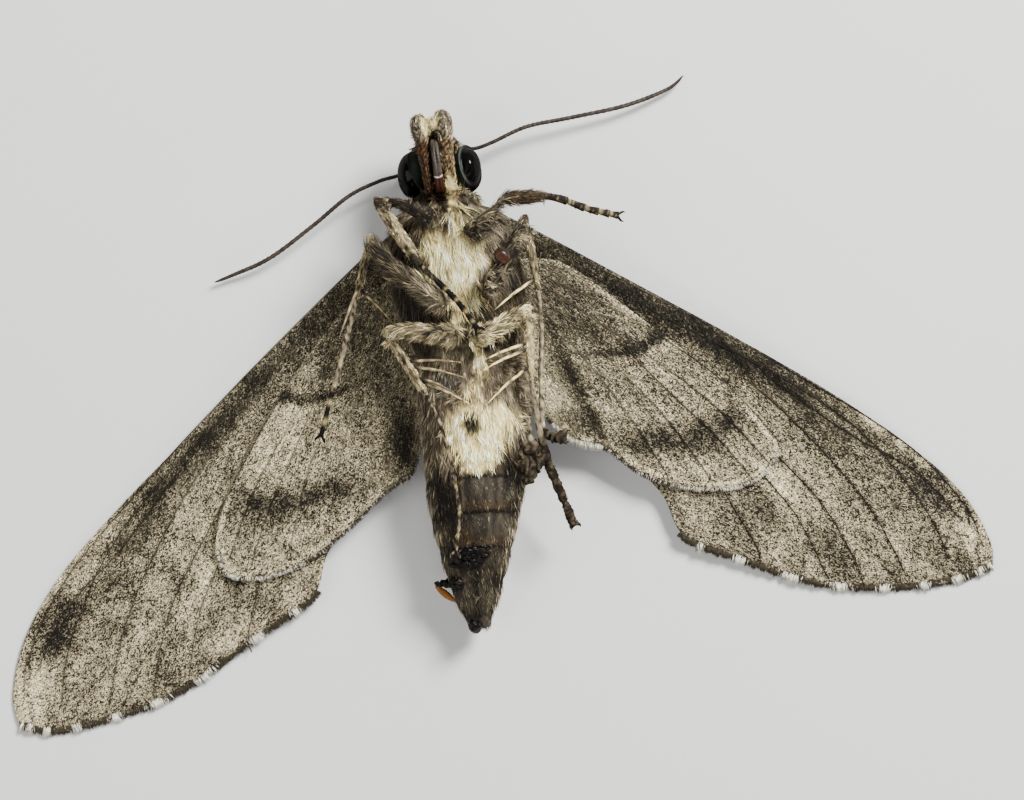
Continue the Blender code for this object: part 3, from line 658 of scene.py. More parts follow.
class Finish:
    """A node material that is put together from expressions."""

    def __init__(self, name, roughness, specular, coat_roughness=0.1):
        self.material = bpy.data.materials.new(name)
        self.material.use_nodes = True
        self.tree = self.material.node_tree
        self.shader = self.tree.nodes["Principled BSDF"]
        for key, value in (("Roughness", roughness), ("Specular IOR Level", specular),
                           ("Coat Roughness", coat_roughness)):
            self.shader.inputs[key].default_value = value
        self.coordinates = self.tree.nodes.new("ShaderNodeTexCoord")

    def node(self, kind, settings=(), values=(), output=0):
        """A node with its settings made first, then its inputs by place or by name."""
        node = self.tree.nodes.new(kind)
        for key, value in dict(settings).items():
            setattr(node, key, value)
        pairs = values.items() if isinstance(values, dict) else enumerate(values)
        for key, value in pairs:
            if isinstance(value, Value):
                self.tree.links.new(value.socket, node.inputs[key])
            else:
                node.inputs[key].default_value = value
        return Value(self, node.outputs[output])

    def place(self):
        return Value(self, self.coordinates.outputs["Object"])

    def attribute(self, name, output=0):
        return self.node("ShaderNodeAttribute", {"attribute_name": name}, output=output)

    def uv(self, name):
        return self.node("ShaderNodeUVMap", {"uv_map": name})

    def stretched(self, vector, scale):
        return self.node("ShaderNodeMapping", {"vector_type": "POINT"}, {0: vector, "Scale": scale})

    def noise(self, vector, size, detail=2.0, roughness=0.5):
        """Noise with features of this size in millimetres."""
        values = {"Vector": vector, "Scale": 1.0 / (size * MM), "Detail": detail, "Roughness": roughness}
        return self.node("ShaderNodeTexNoise", {"noise_dimensions": "3D"}, values)

    def cells(self, vector, dimensions, scale, output):
        """Random cells, this many to a unit."""
        return self.node("ShaderNodeTexVoronoi", {"voronoi_dimensions": dimensions},
                         {"Vector": vector, "Scale": scale}, output)

    def mix(self, share, a, b):
        """From colour a to colour b by a share."""
        return self.node("ShaderNodeMix", {"data_type": "RGBA", "blend_type": "MIX"},
                         {0: share, 6: (*a, 1.0), 7: (*b, 1.0)}, output=2)

    def times(self, colour, amount):
        """A colour made brighter or darker by a number."""
        return self.node("ShaderNodeVectorMath", {"operation": "SCALE"}, {0: colour, 3: amount})

    def part_of(self, colour, which):
        return self.node("ShaderNodeSeparateColor", values=(colour,), output=which)

    def set(self, **links):
        for key, value in links.items():
            self.tree.links.new(value.socket, self.shader.inputs[key.replace("_", " ")])

    def bump(self, height, depth):
        """Height 0 to 1 raised by this depth in millimetres."""
        values = {"Strength": 1.0, "Distance": depth * MM, "Height": height}
        self.set(Normal=self.node("ShaderNodeBump", values=values))


def coat_finish(name, roughness, specular):
    """Hair and scales: the colour comes with each tuft."""
    finish_ = Finish(name, roughness, specular)
    grain = finish_.noise(finish_.place(), 0.25)
    finish_.set(Base_Color=finish_.times(finish_.attribute("coat"), grain * 0.7 + 0.65))
    return finish_.material


def skin_finish():
    """The skin under the coat, in its colours, with short lying hair as a bump; glossy where it is wet."""
    finish_ = Finish("skin under the hair", 0.75, 0.06)
    strands = finish_.noise(finish_.stretched(finish_.place(), (1.0, 0.28, 1.0)), 0.16, detail=3)
    wet = finish_.attribute("wet", output=2)
    crust = finish_.noise(finish_.place(), 0.30, detail=4, roughness=0.6)
    finish_.set(Base_Color=finish_.times(finish_.attribute("coat"), strands * 1.0 + 0.2),
                Roughness=finish_.node("ShaderNodeMath", {"operation": "MULTIPLY_ADD"}, (wet, -0.62, 0.78)))
    finish_.bump(strands + wet * crust * 3.0, 0.12)
    return finish_.material


def membrane_finish(settings):
    """Wing scales as small cells, pale or dark by the share that the marks ask for."""
    finish_ = Finish("wing scales", 0.7, 0.08)
    marks = finish_.attribute("coat")
    share, tone = finish_.part_of(marks, 0), finish_.part_of(marks, 1)
    lie = finish_.uv("lie")
    cells = finish_.cells(finish_.stretched(lie, (1 / 0.10, 1 / 0.06, 1.0)), "2D", 1.0, "Color")
    chance, shade = finish_.part_of(cells, 0), finish_.part_of(cells, 1)
    clumps = finish_.noise(lie, 0.42 / MM, detail=1.0)  # the lie runs in millimetres
    soft = (share + (clumps - 0.5) * 0.9 - chance) * 2.2
    pale = soft.within(-0.5, 0.5)
    colour = finish_.mix(pale, settings.dark_scale, settings.pale_scale)
    finish_.set(Base_Color=finish_.times(colour, (shade ** 2 * 1.14 + 0.56) * tone))
    finish_.bump(shade, 0.035)
    return finish_.material


def eye_finish():
    """Dark and glossy, and dull where it has dried."""
    finish_ = Finish("eye", 0.3, 0.0, coat_roughness=0.05)
    rim, dry = finish_.attribute("coat"), finish_.attribute("coat", output=3)
    cloud = finish_.noise(finish_.place(), 0.5, detail=3)
    finish_.set(Base_Color=finish_.times(rim, cloud * 0.8 + 0.6), Roughness=cloud * 0.12 + dry * 0.38 + 0.08,
                Coat_Weight=0.11 - dry * 0.09)
    finish_.bump(finish_.cells(finish_.place(), "3D", 1 / (0.05 * MM), 0), 0.003)
    return finish_.material


def horn_finish(name, roughness, depth, specular):
    """Bare or thinly scaled horn; its colour is painted on the piece."""
    finish_ = Finish(name, roughness, specular)
    cloud = finish_.noise(finish_.place(), 0.18, detail=4, roughness=0.65)
    finish_.set(Base_Color=finish_.times(finish_.attribute("coat"), cloud * 1.1 + 0.45))
    finish_.bump(cloud, depth)
    return finish_.material


# ------------------------------------------------------------------ tufts


def tufts(name, roots, lie, out, length, width, lift, bend, colours, uv, rings, flat=0.45, sink=0.06,
          root_gain=0.72, tip_gain=1.15):
    """Solid three-sided tufts, thickest at the root, that rise at lift and bend back to lie on the skin.

    Each tuft's patch on the OFBake map is about 0.003 across, at its root's place on the unwrap."""
    count = len(roots)
    side = unit(np.cross(lie, out))
    lift, bend, length, width = (np.broadcast_to(v, (count,))[:, None] for v in (lift, bend, length, width))
    rows, shares, patch = [], [], []
    for k in range(rings + 1):
        t = k / rings
        rise = length * np.sin(lift) * t * (1 - 0.45 * t) - sink * (1 - t)
        centre = roots + lie * length * np.cos(lift) * t + out * rise + side * bend * length * t * t
        if k == rings:
            rows.append(centre)
            shares.append(t)
            patch.append((0.0, 0.0015))
            continue
        wide = width * (0.72 + 0.28 * math.sin(math.pi * min(t * 1.6, 1.0))) * (1 - t * 0.55)
        for angle in (90, 210, 330):
            c, s = math.cos(math.radians(angle)), math.sin(math.radians(angle))
            rows.append(centre + side * wide * c * 0.5 + out * wide * flat * s)
            shares.append(t)
            patch.append((c * 0.0015, (t - 0.5) * 0.003))
    each = 3 * rings + 1
    faces = [(0, 1, 2)]
    for k in range(rings - 1):
        for j in range(3):
            a, b, c, d = 3 * k + j, 3 * k + 3 + j, 3 * k + 3 + (j + 1) % 3, 3 * k + (j + 1) % 3
            faces += [(a, b, c), (a, c, d)]
    last = 3 * (rings - 1)
    faces += [(last + j, each - 1, last + (j + 1) % 3) for j in range(3)]
    points = np.stack(rows, axis=1).reshape(-1, 3)
    faces = (np.array(faces)[None] + np.arange(count)[:, None, None] * each).reshape(-1, 3)
    uv = (uv[:, None, :] + np.array(patch)[None]).reshape(-1, 2)
    piece = joined(name, points, faces, np.clip(uv, 0.0, 1.0))
    # each tuft is painted darker at its root and brighter at its tip: the hair's own darker base, with
    # painted shade deep in the coat and painted highlight on the tips
    gain = root_gain + (tip_gain - root_gain) * np.array(shares) ** 0.7
    paint(piece, "coat", (colours[:, None, :] * gain[None, :, None]).reshape(-1, 3))
    return piece


# ------------------------------------------------------------------ wings


def sheet_height(x, y):
    reach = np.hypot(np.abs(x) - WING_ROOT[0], y - WING_ROOT[1])
    return WING_FLOOR + WING_LIFT * np.clip(1 - reach / WING_REACH, 0, 1) ** WING_SLOPE_POWER


def wing_axes(kind, side):
    """A wing's root, its length, and the ways out along it and back across it."""
    root, tip = (np.array(p) for p in WING_AXES[kind, side])
    length = np.linalg.norm(tip - root)
    way = (tip - root) / length
    return root, length, way, np.array((way[1], -way[0])) * side


def wing_measure(kind, side, x, y):
    """A place on a wing in the wing's own measure: shares of its length, out and back."""
    root, length, way, aside = wing_axes(kind, side)
    dx, dy = x - root[0], y - root[1]
    return tuple((dx * axis[0] + dy * axis[1]) / length for axis in (way, aside))


def wing_place(kind, side, out, back):
    """The other way round: x and y of a place given in the wing's own measure."""
    root, length, way, aside = wing_axes(kind, side)
    return (root[k] + (out * way[k] + back * aside[k]) * length for k in (0, 1))


def fan_angle(kind, out, back):
    (a, b), _ = FANS[kind]
    return np.degrees(np.arctan2(back - b, out - a))


def wing_height(kind, side, x, y):
    """Height of a wing's middle: the sheet, with low folds that fan out between the veins."""
    out, back = wing_measure(kind, side, x, y)
    spread = ramp(out, 0.15, 0.55)
    fold = np.cos(fan_angle(kind, out, back) / FANS[kind][1] * 2 * math.pi) * PLEAT_HEIGHT * spread
    z = sheet_height(x, y) + fold
    if kind == "hind":
        z = z + HINDWING_STEP - 0.30 * ramp(out, 0.3, 1.0) + 0.10 * bump_at(out, 0.62, 0.2)
    return np.maximum(z, 0.17)


def wing_surface(kind, side, out, back, face=0.0):
    """Points on a wing's middle surface, or raised by face towards the belly side."""
    front, rear = (rows_at(edge, out) for edge in WING_EDGES[kind, side])
    p = front + (rear - front) * np.asarray(back)[:, None]
    return np.column_stack([p, wing_height(kind, side, *p.T) + face])


def wing_marks(kind, side, upper, x, y):
    """(share of pale scales, tone) over one face of a wing."""
    out, back = wing_measure(kind, side, x, y)
    pale = np.full(len(out), PALENESS[kind, upper])
    marks = WING_MARKS[kind, upper] + (() if upper else OWN_MARKS[kind, side])
    for a, b, half_a, half_b, turn, amount in marks:
        c, s = math.cos(math.radians(turn)), math.sin(math.radians(turn))
        du, dv = (out - a) * c + (back - b) * s, -(out - a) * s + (back - b) * c
        pale = pale + amount * np.exp(-((du / half_a) ** 2 + (dv / half_b) ** 2) ** 1.2)
    flat = np.column_stack([out, back])
    pale = pale + 0.080 * ripple(flat, 0.05, 5 + side) + 0.060 * ripple(flat, 0.02, 8 + side)
    fan = fan_angle(kind, out, back) / FANS[kind][1]
    along = np.column_stack([out * 0.25, fan * 0.06])
    pale = pale + 0.06 * ripple(along, 0.010, 11) * ramp(out, 0.25, 0.5)
    veins = vein_shadow(kind, out, back) * VEIN_STRENGTH[side][0]
    pale = pale - 0.30 * veins + 0.10 * vein_shadow(kind, out, back + 0.010)
    if upper:
        for middle in UPPER_LINES[kind]:
            zigzag = middle + 0.10 * back + 0.012 * np.sin(back * 160) + 0.008 * np.sin(back * 61 + 1)
            pale = pale - 0.24 * bump_at(out, zigzag, 0.007)
    elif kind == "fore":
        hook = 0.905 + 0.055 * ramp(back, -0.06, -0.01) + 0.02 * ramp(back, -0.01, 0.01)
        near = ramp(back, -0.066, -0.052) * ramp(-back, -0.022, -0.008)
        pale = pale - 0.40 * bump_at(out, hook, 0.0055) * near
    else:
        curve = 0.45 - 4.2 * np.clip(back + 0.13, 0, 1) ** 2
        band = 0.14 * bump_at(out, curve + 0.04, 0.022) - 0.48 * bump_at(out, curve, 0.018)
        pale = pale + band * ramp(-back, -0.115, -0.04)
        costa = -0.125 + 0.13 * ramp(out, 0.6, 1.1)
        pale = pale + 0.25 * bump_at(back, costa, 0.008) * ramp(out, 0.47, 0.5)
    if not upper:
        rim = margin_distance(kind, side, x, y)
        broken = 0.75 + 0.5 * ripple(flat, 0.05, 92)
        pale = pale - RIM_DARK[kind] * bump_at(rim, 0.42, 0.16)
        pale = pale + RIM_PALE.get((kind, side), 0.0) * broken * bump_at(rim, 0.60, 0.24)
    pale = np.clip(pale, 0.04, 1.05)
    tone = (PALE_TONE[0] + PALE_TONE[1] * pale ** 1.5) * (1 - 0.30 * veins)
    return PALE_SHARE[0] + PALE_SHARE[1] * pale, tone


def vein_shadow(kind, out, back):
    """Where the thin dark veins show through the scales, 0 to 1."""
    shadow = np.zeros(len(out))
    for vein in VEINS[kind]:
        line = rows_at(vein, np.linspace(0, 1, 80))
        for (a, b), (c, d) in zip(line[:-1], line[1:]):
            length = math.hypot(c - a, d - b)
            along = np.clip(((out - a) * (c - a) + (back - b) * (d - b)) / length ** 2, 0, 1)
            off = np.hypot(out - a - along * (c - a), back - b - along * (d - b))
            shadow = np.maximum(shadow, np.exp(-(off / VEIN_HALF[kind]) ** 2))
    return shadow * ramp(out, 0.42, 0.62)


def margin_distance(kind, side, x, y):
    """Distance in millimetres from the wing's outer margin, sampled along it."""
    near = np.full(len(x), np.inf)
    for px, py in outer_margin(kind, side, 240)[0]:
        near = np.minimum(near, (x - px) ** 2 + (y - py) ** 2)
    return np.sqrt(near)


def outer_margin(kind, side, count):
    """Points along the outer margin from the tip to the inner corner, and the outward ways there."""
    front, rear = WING_EDGES[kind, side]
    line = rows_at(rear, np.linspace(1.0, MARGIN_START[kind], count))
    way = unit(np.gradient(line, axis=0))
    outward = np.column_stack([-way[:, 1], way[:, 0]]) * side
    if np.sum((line[count // 2] - np.mean(front, axis=0)) * outward[count // 2]) < 0:
        outward = -outward
    return line, outward


def make_membrane(settings, kind, side, material):
    """A fine grid drawn over the wing, given its thickness, and painted with the marks of both faces."""
    nothing_selected()
    along, across = MEMBRANE_STEPS[kind]
    bpy.ops.mesh.primitive_grid_add(x_subdivisions=along, y_subdivisions=across, size=MM, location=(0, 0, 0))
    piece = added()
    piece.name = f"membrane_{kind}wing_{WORDS[side]}"
    shares = np.clip(points_of(piece)[:, :2] + 0.5, 0.0, 1.0)
    out = 1 - (1 - shares[:, 0]) ** 1.15
    inset = MEMBRANE_INSET[kind]
    set_points(piece, wing_surface(kind, side, out * 0.992, inset + shares[:, 1] * (1 - 2.4 * inset)))
    face_outwards()
    if np.mean(normals_of(piece)[:, 2]) < 0:
        piece.data.flip_normals()
    apply_modifier(piece, "SOLIDIFY", thickness=settings.membrane_thickness, offset=0.0)
    x, y, _ = points_of(piece).T
    up = normals_of(piece)[:, 2:] > 0
    under, upper = (np.column_stack(wing_marks(kind, side, flag, x, y)) for flag in (False, True))
    marks = np.where(up, under, upper)
    paint(piece, "coat", np.column_stack([marks, marks[:, 0]]))
    lie = np.column_stack(wing_measure(kind, side, x, y)) * wing_axes(kind, side)[1]
    layer = piece.data.uv_layers.new(name="lie")
    corners = np.empty(len(piece.data.loops), np.int32)
    piece.data.loops.foreach_get("vertex_index", corners)
    layer.data.foreach_set("uv", lie[corners].astype(np.float32).ravel())
    bpy.ops.object.shade_smooth()
    finish(piece, material, "wing_scales", f"{kind}wing_{WORDS[side]}")


def scale_lie(kind, side, x, y):
    """The way the scales point: out along the folds, and slanting back from the forewing's leading edge."""
    out, back = wing_measure(kind, side, x, y)
    (a, b), _ = FANS[kind]
    fan = unit(np.column_stack([out - a + 0.25, back - b]))
    if kind == "fore":
        fan[:, 1] += 0.55 * ramp(-out, -0.62, -0.3) * ramp(-back, -0.03, 0.02)
    _, _, way, aside = wing_axes(kind, side)
    return unit(np.column_stack([fan[:, :1] * way + fan[:, 1:] * aside, np.zeros(len(out))]))


def make_scales(settings, kind, side, upper, material):
    """Scales and short hairs on one face of a wing."""
    rng = np.random.default_rng({"fore": 11, "hind": 23}[kind] + 3 * side + upper)
    count = int(WING_AREA[kind] * settings.scale_density * (UPPER_SCALES if upper else 1.0))
    out, back = 1 - rng.uniform(0, 1, count) ** 0.78, rng.uniform(0.015, 0.978, count)
    front, rear = (rows_at(edge, out) for edge in WING_EDGES[kind, side])
    chord = np.linalg.norm(front - rear, axis=1)
    keep = rng.uniform(0, 1, count) < np.clip(chord / chord.max() * 1.25 + 0.05, 0, 1)
    out, back = out[keep] * 0.99, back[keep]
    count = len(out)
    half = settings.membrane_thickness / MM / 2 * (-1 if upper else 1)
    roots = wing_surface(kind, side, out, back, half)
    ahead, aside = (wing_surface(kind, side, out + a, back + b, half) - roots
                    for a, b in ((-0.002, 0.0), (0.0, 0.004)))
    normal = unit(np.cross(ahead, aside))
    normal *= np.sign(normal[:, 2:]) * (-1 if upper else 1)
    x, y, _ = roots.T
    a, b = wing_measure(kind, side, x, y)
    hairy = np.clip(1.0 - a * HAIRY_FALL[kind], 0, 1)
    if kind == "fore":
        hairy = np.maximum(hairy, ramp(-b, 0.0, 0.03) * ramp(-a, -0.8, -0.6))
    elif not upper:
        hairy = np.maximum(hairy, ramp(b, 0.16, 0.3) * ramp(-a, -0.6, -0.35))
    hair = rng.uniform(0, 1, count) < hairy * (0.3 if upper else 0.75)
    lie = scale_lie(kind, side, x, y)
    locks = ripple(roots[:, :2], 1.3, 31)
    turn = (rng.normal(0, 0.16, count) + np.where(hair, 0.22 * locks, 0.0))[:, None]
    lie = unit(laid(lie + np.cross(normal, lie) * turn, normal))
    share, tone = wing_marks(kind, side, upper, x, y)
    light, dark = np.array(settings.pale_scale), np.array(settings.dark_scale)
    colour = blend(dark, (light, 0.5 + 2.2 * (share - rng.uniform(0, 1, count))))
    colour = np.where(hair[:, None], colour * 0.6 + (light + dark) * 0.165, colour)
    brightness = rng.uniform(0.7, 1.3, count)
    colour = colour * (np.where(hair, brightness ** 2.5, brightness) * tone)[:, None]
    # hairs are long and thin, scales short
    length, width, lift = (np.where(hair, rng.uniform(*hairs, count), rng.uniform(*scales, count))
                           for hairs, scales in (((0.6, 1.6), (0.14, 0.24)), ((0.045, 0.070), (0.05, 0.08)),
                                                 ((0.04, 0.20), (0.05, 0.26))))
    uv = np.column_stack([out, back]) * 0.96 + 0.02
    face = "upper" if upper else "under"
    piece = tufts(f"scales_{face}_{kind}wing_{WORDS[side]}", roots, lie, normal, length, width, lift,
                  rng.normal(0, 0.10, count), colour, uv, rings=1, flat=0.20, sink=0.02, root_gain=0.62)
    finish(piece, material, "wing_scales")


def chequer(kind, shares, side):
    """Where along the outer margin the fringe is white, 0 to 1."""
    if kind == "hind":
        return 0.80 + 0.30 * np.sin(shares * 58 + 2 * side) + 0.15 * np.sin(shares * 171)
    return sum(bump_at(shares, spot + 0.008 * side * math.sin(9 * spot), 0.017 + 0.005 * math.sin(40 * spot))
               for spot in FRINGE_SPOTS)


def make_fringe(settings, kind, side, material):
    """The fringe of long scales along the outer margin, in layers that overlap."""
    rng = np.random.default_rng(37 + side + (5 if kind == "fore" else 0))
    count = FRINGE_COUNT[kind]
    reach = settings.fringe_length / MM * FRINGE_REACH[kind]
    shares = rng.uniform(0, 1, count)
    px, py, ox, oy = (np.interp(shares * 399, np.arange(400), row)
                      for row in np.hstack(outer_margin(kind, side, 400)).T)
    white = np.clip(chequer(kind, shares, side), 0, 1)
    ragged = ripple(shares[:, None] * 60, 1.0, 51 + side)
    inward = rng.uniform(0.30, 0.62, count) * FRINGE_DEPTH[kind]
    x, y = px - ox * inward, py - oy * inward
    roots = np.column_stack([x, y, wing_height(kind, side, x, y) + rng.uniform(-0.05, 0.07, count)])
    spread = rng.normal(0, 0.14, count) + 0.25 * ragged
    lie = unit(np.column_stack([ox - oy * spread, oy + ox * spread, rng.normal(0, 0.05, count)]))
    up = np.tile((0.0, 0.0, 1.0), (count, 1))
    pale = rng.uniform(0, 1, count) < white
    if kind == "hind":
        flap = ramp(shares, 0.56, 0.60) * ramp(-shares, -0.84, -0.78) if side == LEFT else np.zeros(count)
        ragged_edge = ramp(shares, 0.36, 0.44) * (1 - flap)
        pale = (pale & (rng.uniform(0, 1, count) < 0.80 - 0.65 * ragged_edge)) | (flap > 0.5)
        reach = reach * (1 + 0.9 * flap)
    dark_tone = np.array(settings.dark_scale) + 0.035 * np.array(settings.pale_scale)
    colour = np.where(pale[:, None], WHITE_SCALE * FRINGE_WHITE[kind], dark_tone)
    colour = colour * rng.uniform(0.75, 1.2, count)[:, None]
    length = reach * rng.uniform(0.75, 1.1, count) * (0.64 + 0.26 * white + 0.10 * ragged)
    uv = np.column_stack([shares * 0.96 + 0.02, inward * 0.6])
    piece = tufts(f"fringe_{kind}wing_{WORDS[side]}", roots, lie, up, length, rng.uniform(0.07, 0.11, count),
                  rng.uniform(0.0, 0.12, count), rng.normal(0, 0.08, count), colour, uv, rings=2, flat=0.25,
                  sink=0.0)
    finish(piece, material, "wing_scales")


def make_veins(kind, side, material):
    """Low ridges along the veins of both faces."""
    pieces = []
    for vein in VEINS[kind]:
        x, y = wing_place(kind, side, *rows_at(vein, np.linspace(0, 1, 30)).T)
        z = wing_height(kind, side, x, y) + 0.028
        pieces.append(tube("vein", np.column_stack([x, y, z]), np.linspace(0.085, 0.05, 30), 6, 30))
    piece = join(f"veins_{kind}wing_{WORDS[side]}", pieces)
    x, y, _ = points_of(piece).T
    share, tone = wing_marks(kind, side, False, x, y)
    out, _ = wing_measure(kind, side, x, y)
    strength = (ramp(out, 0.35, 0.6) if kind == "fore" else 0.45) * VEIN_STRENGTH[side][1]
    paint(piece, "coat", blend(blend(DARK, (PALE_GREY, share)) * tone[:, None], (DARK * 0.8, strength)))
    finish(piece, material, "wing_scales")


# ------------------------------------------------------------------ body


def leg_paths(plan):
    """Middle lines of hip to knee, and knee to ankle."""
    hip, knee, ankle = (np.array(plan[k]) for k in ("hip", "knee", "ankle"))
    bend = (hip + knee) / 2 + np.array(plan["bow"])
    return (plan["coxa"], hip, bend, knee), (knee, ankle)


def leg_line(name):
    """The middle line of a femur, from the hip to the knee, or of a tibia."""
    leg, part = name.rsplit("_", 1)
    upper, lower = leg_paths(LEGS[leg])
    return upper[1:] if part == "femur" else lower


def leg_way(name):
    line = leg_line(name)
    return unit(line[-1] - line[0])


def body_copies():
    """Rounded copies of the solids that the skin is drawn over."""
    pieces = []
    for name in TRUNK_NAMES:
        take(frame["nodes"][name])
        bpy.ops.object.duplicate()
        piece = added()
        bpy.ops.object.parent_clear(type="CLEAR_KEEP_TRANSFORM")
        bpy.ops.object.transform_apply(location=True, rotation=True, scale=True)
        bpy.ops.object.mode_set(mode="EDIT")
        bpy.ops.mesh.select_all(action="SELECT")
        bpy.ops.mesh.remove_doubles(threshold=5e-6)
        bpy.ops.mesh.tris_convert_to_quads(face_threshold=0.9, shape_threshold=0.9)
        bpy.ops.object.mode_set(mode="OBJECT")
        piece.data.materials.clear()
        if name != "head":
            apply_modifier(piece, "SUBSURF", levels=2, render_levels=2)
        pieces.append(piece)
    return pieces


def build_skin_shape(settings):
    """One closed skin over body and legs, drawn in by the depth of the coat."""
    pieces = body_copies()
    pieces.append(sphere("neck", (-0.3, 7.3, 4.5), (3.5, 1.7, 2.8)))
    pieces.append(sphere("palp_bridge", (-0.84, 13.65, 7.3), (0.62, 0.85, 1.25)))
    pieces.append(tube("palp_side", PALP_SIDE, (0.45, 0.50, 0.50, 0.45), 12, 20))
    for side in (LEFT, RIGHT):
        pieces.append(sphere("brow", (HEAD_MIDDLE_X + side * 1.5, 12.1, 5.3), (0.7, 0.9, 1.0)))
    pieces.append(sphere("waist", (0.75, -5.75, 4.4), (4.6, 1.6, 3.7)))
    for name, plan in LEGS.items():
        thigh, shin, _ = plan["radii"]
        upper, lower = leg_paths(plan)
        upper_radii = (HIP_RADIUS * 1.5, HIP_RADIUS, thigh * LEG_SKIN_SHARE, 0.5 * thigh)
        pieces.append(tube(f"{name}_upper", upper, upper_radii, 12, 20))
        lower_radii = [shin * s * LEG_SKIN_SHARE for s in (0.62, 0.95, 1.0, 0.9, 0.62)]
        pieces.append(tube(f"{name}_lower", lower, lower_radii, 12, 16))
        pieces.append(sphere(f"{name}_knee", plan["knee"], (0.5 * thigh,) * 3, 12, 8))
    skin = join("skin", pieces)
    apply_modifier(skin, "REMESH", mode="VOXEL", voxel_size=SKIN_VOXEL * MM)
    apply_modifier(skin, "SMOOTH", factor=0.6, iterations=5)
    points, normals = points_of(skin), normals_of(skin)
    parts = parts_at(points)
    coat = settings.coat_depth / MM
    depth = np.select([parts == ABDOMEN, parts <= HEAD, parts < FIRST_LEG], [0.35 * coat, coat, -0.02], 0.08)
    points = points - normals * depth[:, None]
    points[:, 2] = np.maximum(points[:, 2], 0.02)
    set_points(skin, points)
    apply_modifier(skin, "SMOOTH", factor=0.5, iterations=2)
    bpy.ops.object.shade_smooth()
    return skin


def parts_at(points):
    """The number in PART_NAMES of the solid nearest to each point."""
    rows, numbers = [], []
    for number, name in enumerate(PART_NAMES):
        if number < FIRST_LEG:
            node = frame["nodes"][name]
            co = np.array([tuple(node.matrix_world @ v.co) for v in node.data.vertices]) / MM
            tri = np.array([p.vertices[:] for p in node.data.polygons])
            co = np.concatenate([co, co[tri].mean(axis=1), co[tri][:, [0, 1]].mean(axis=1)])
        else:
            leg, part = name.rsplit("_", 1)
            line = rows_at(leg_line(name), np.linspace(0.0, 1, 14))
            radius = LEGS[leg]["radii"][0 if part == "femur" else 1] * 0.9
            way = unit(line[-1] - line[0])
            across = unit(np.cross(way, (0.3, 0.2, 1.0)))
            up = np.cross(way, across)
            co = np.concatenate([line + radius * (across * math.cos(a) + up * math.sin(a))
                                 for a in np.linspace(0, 2 * math.pi, 8, endpoint=False)])
        rows.append(co)
        numbers.append(np.full(len(co), number))
    return np.concatenate(numbers)[nearest(np.concatenate(rows), points)[0]]


def body_lie(points, parts):
    """The way the hair points at each place, before it is laid on the skin."""
    x, y, z = points.T
    across = (x - body_middle(y)) / 5.0
    lie = np.column_stack([0.32 * across, np.full(len(x), -1.0), np.zeros(len(x))])
    belly = ramp(z, 5.0, 8.0) * ramp(y, -5.0, -2.0)
    lie[:, 0] += belly * (0.30 * ripple(points[:, :2], 2.2, 3) + 0.12)
    lie[:, 2] -= 0.25 * (1 - belly) * ramp(np.abs(across), 0.6, 1.0)
    head = parts == HEAD
    lie[head] = np.column_stack([0.5 * across, -0.6 + 0 * x, 0.2 + 0 * x])[head]
    collar = ramp(z, 3.0, 6.0) * bump_at(y, 7.6, 1.1)
    lie = lie + collar[:, None] * np.column_stack([0.5 * across, 0.9 + 0 * x, 0.5 + 0 * x])
    lie[np.isin(parts, PALPS)] = (0.0, 1.0, -0.1)
    for number, name in enumerate(PART_NAMES[FIRST_LEG:], start=FIRST_LEG):
        here = parts == number
        fall = np.array(FALLING_HAIR.get(name, (0.0, -0.25, -0.1)))
        lie[here] = leg_way(name) + fall * (0.7 + 0.4 * ripple(points[here], 0.9, 130 + number))[:, None]
    return unit(lie)


class Spot:
    """Places on the body, with the noises and soft edges that its marks are drawn with."""

    def __init__(self, points):
        self.points = points
        self.x, self.y, self.z = x, y, _ = points.T
        self.across = x - body_middle(y)
        self.noise, self.fine = ripple(points, 1.5, 41), ripple(points * (1, 0.4, 1), 0.40, 42)
        self.px = x + 0.16 * ripple(points, 0.7, 45) + 0.10 * self.fine
        self.py = y + 0.30 * ripple(points, 0.9, 46) + 0.2 * self.fine
        self.up = ramp(self.z, 4.2, 6.6)

    def mark(self, x, y, long, wide, turn=0):
        return oval(self.px, self.py, (x, y), long, wide, turn)

    def marked(self, base, marks):
        grain = 0.92 + 0.25 * self.fine
        return blend(base, *((tint, self.mark(*place) * strength * grain)
                             for *place, tint, strength in marks))


def thorax_colours(at):
    """Pale belly side with a cream patch; grey back with dark stripes."""
    belly = at.marked(blend(DARK, (GREY_BROWN, 0.5 + 0.6 * at.fine)), CHEST_MARKS)
    stripes = bump_at(np.abs(at.across), 3.4, 0.5) + 0.8 * bump_at(at.across, 0.0, 0.28)
    back = blend(PALE_GREY * 0.55, (GREY_BROWN * 0.7, 0.5 + 0.5 * at.fine),
                 (BLACK * 2.0, 0.85 * stripes * ramp(at.y, -4.5, -3.0)))
    neck = bump_at(at.y, 6.6, 1.5) * at.up
    tress = ripple(at.points * (1.0, 0.30, 0.6), 0.42, 43)
    return blend(back, (belly, at.up), (DARK * 1.2, 0.85 * neck * ramp(-tress, -0.05, 0.35)),
                 (PALE_GREY * 1.3, 0.65 * neck * ramp(tress, 0.45, 0.8)))


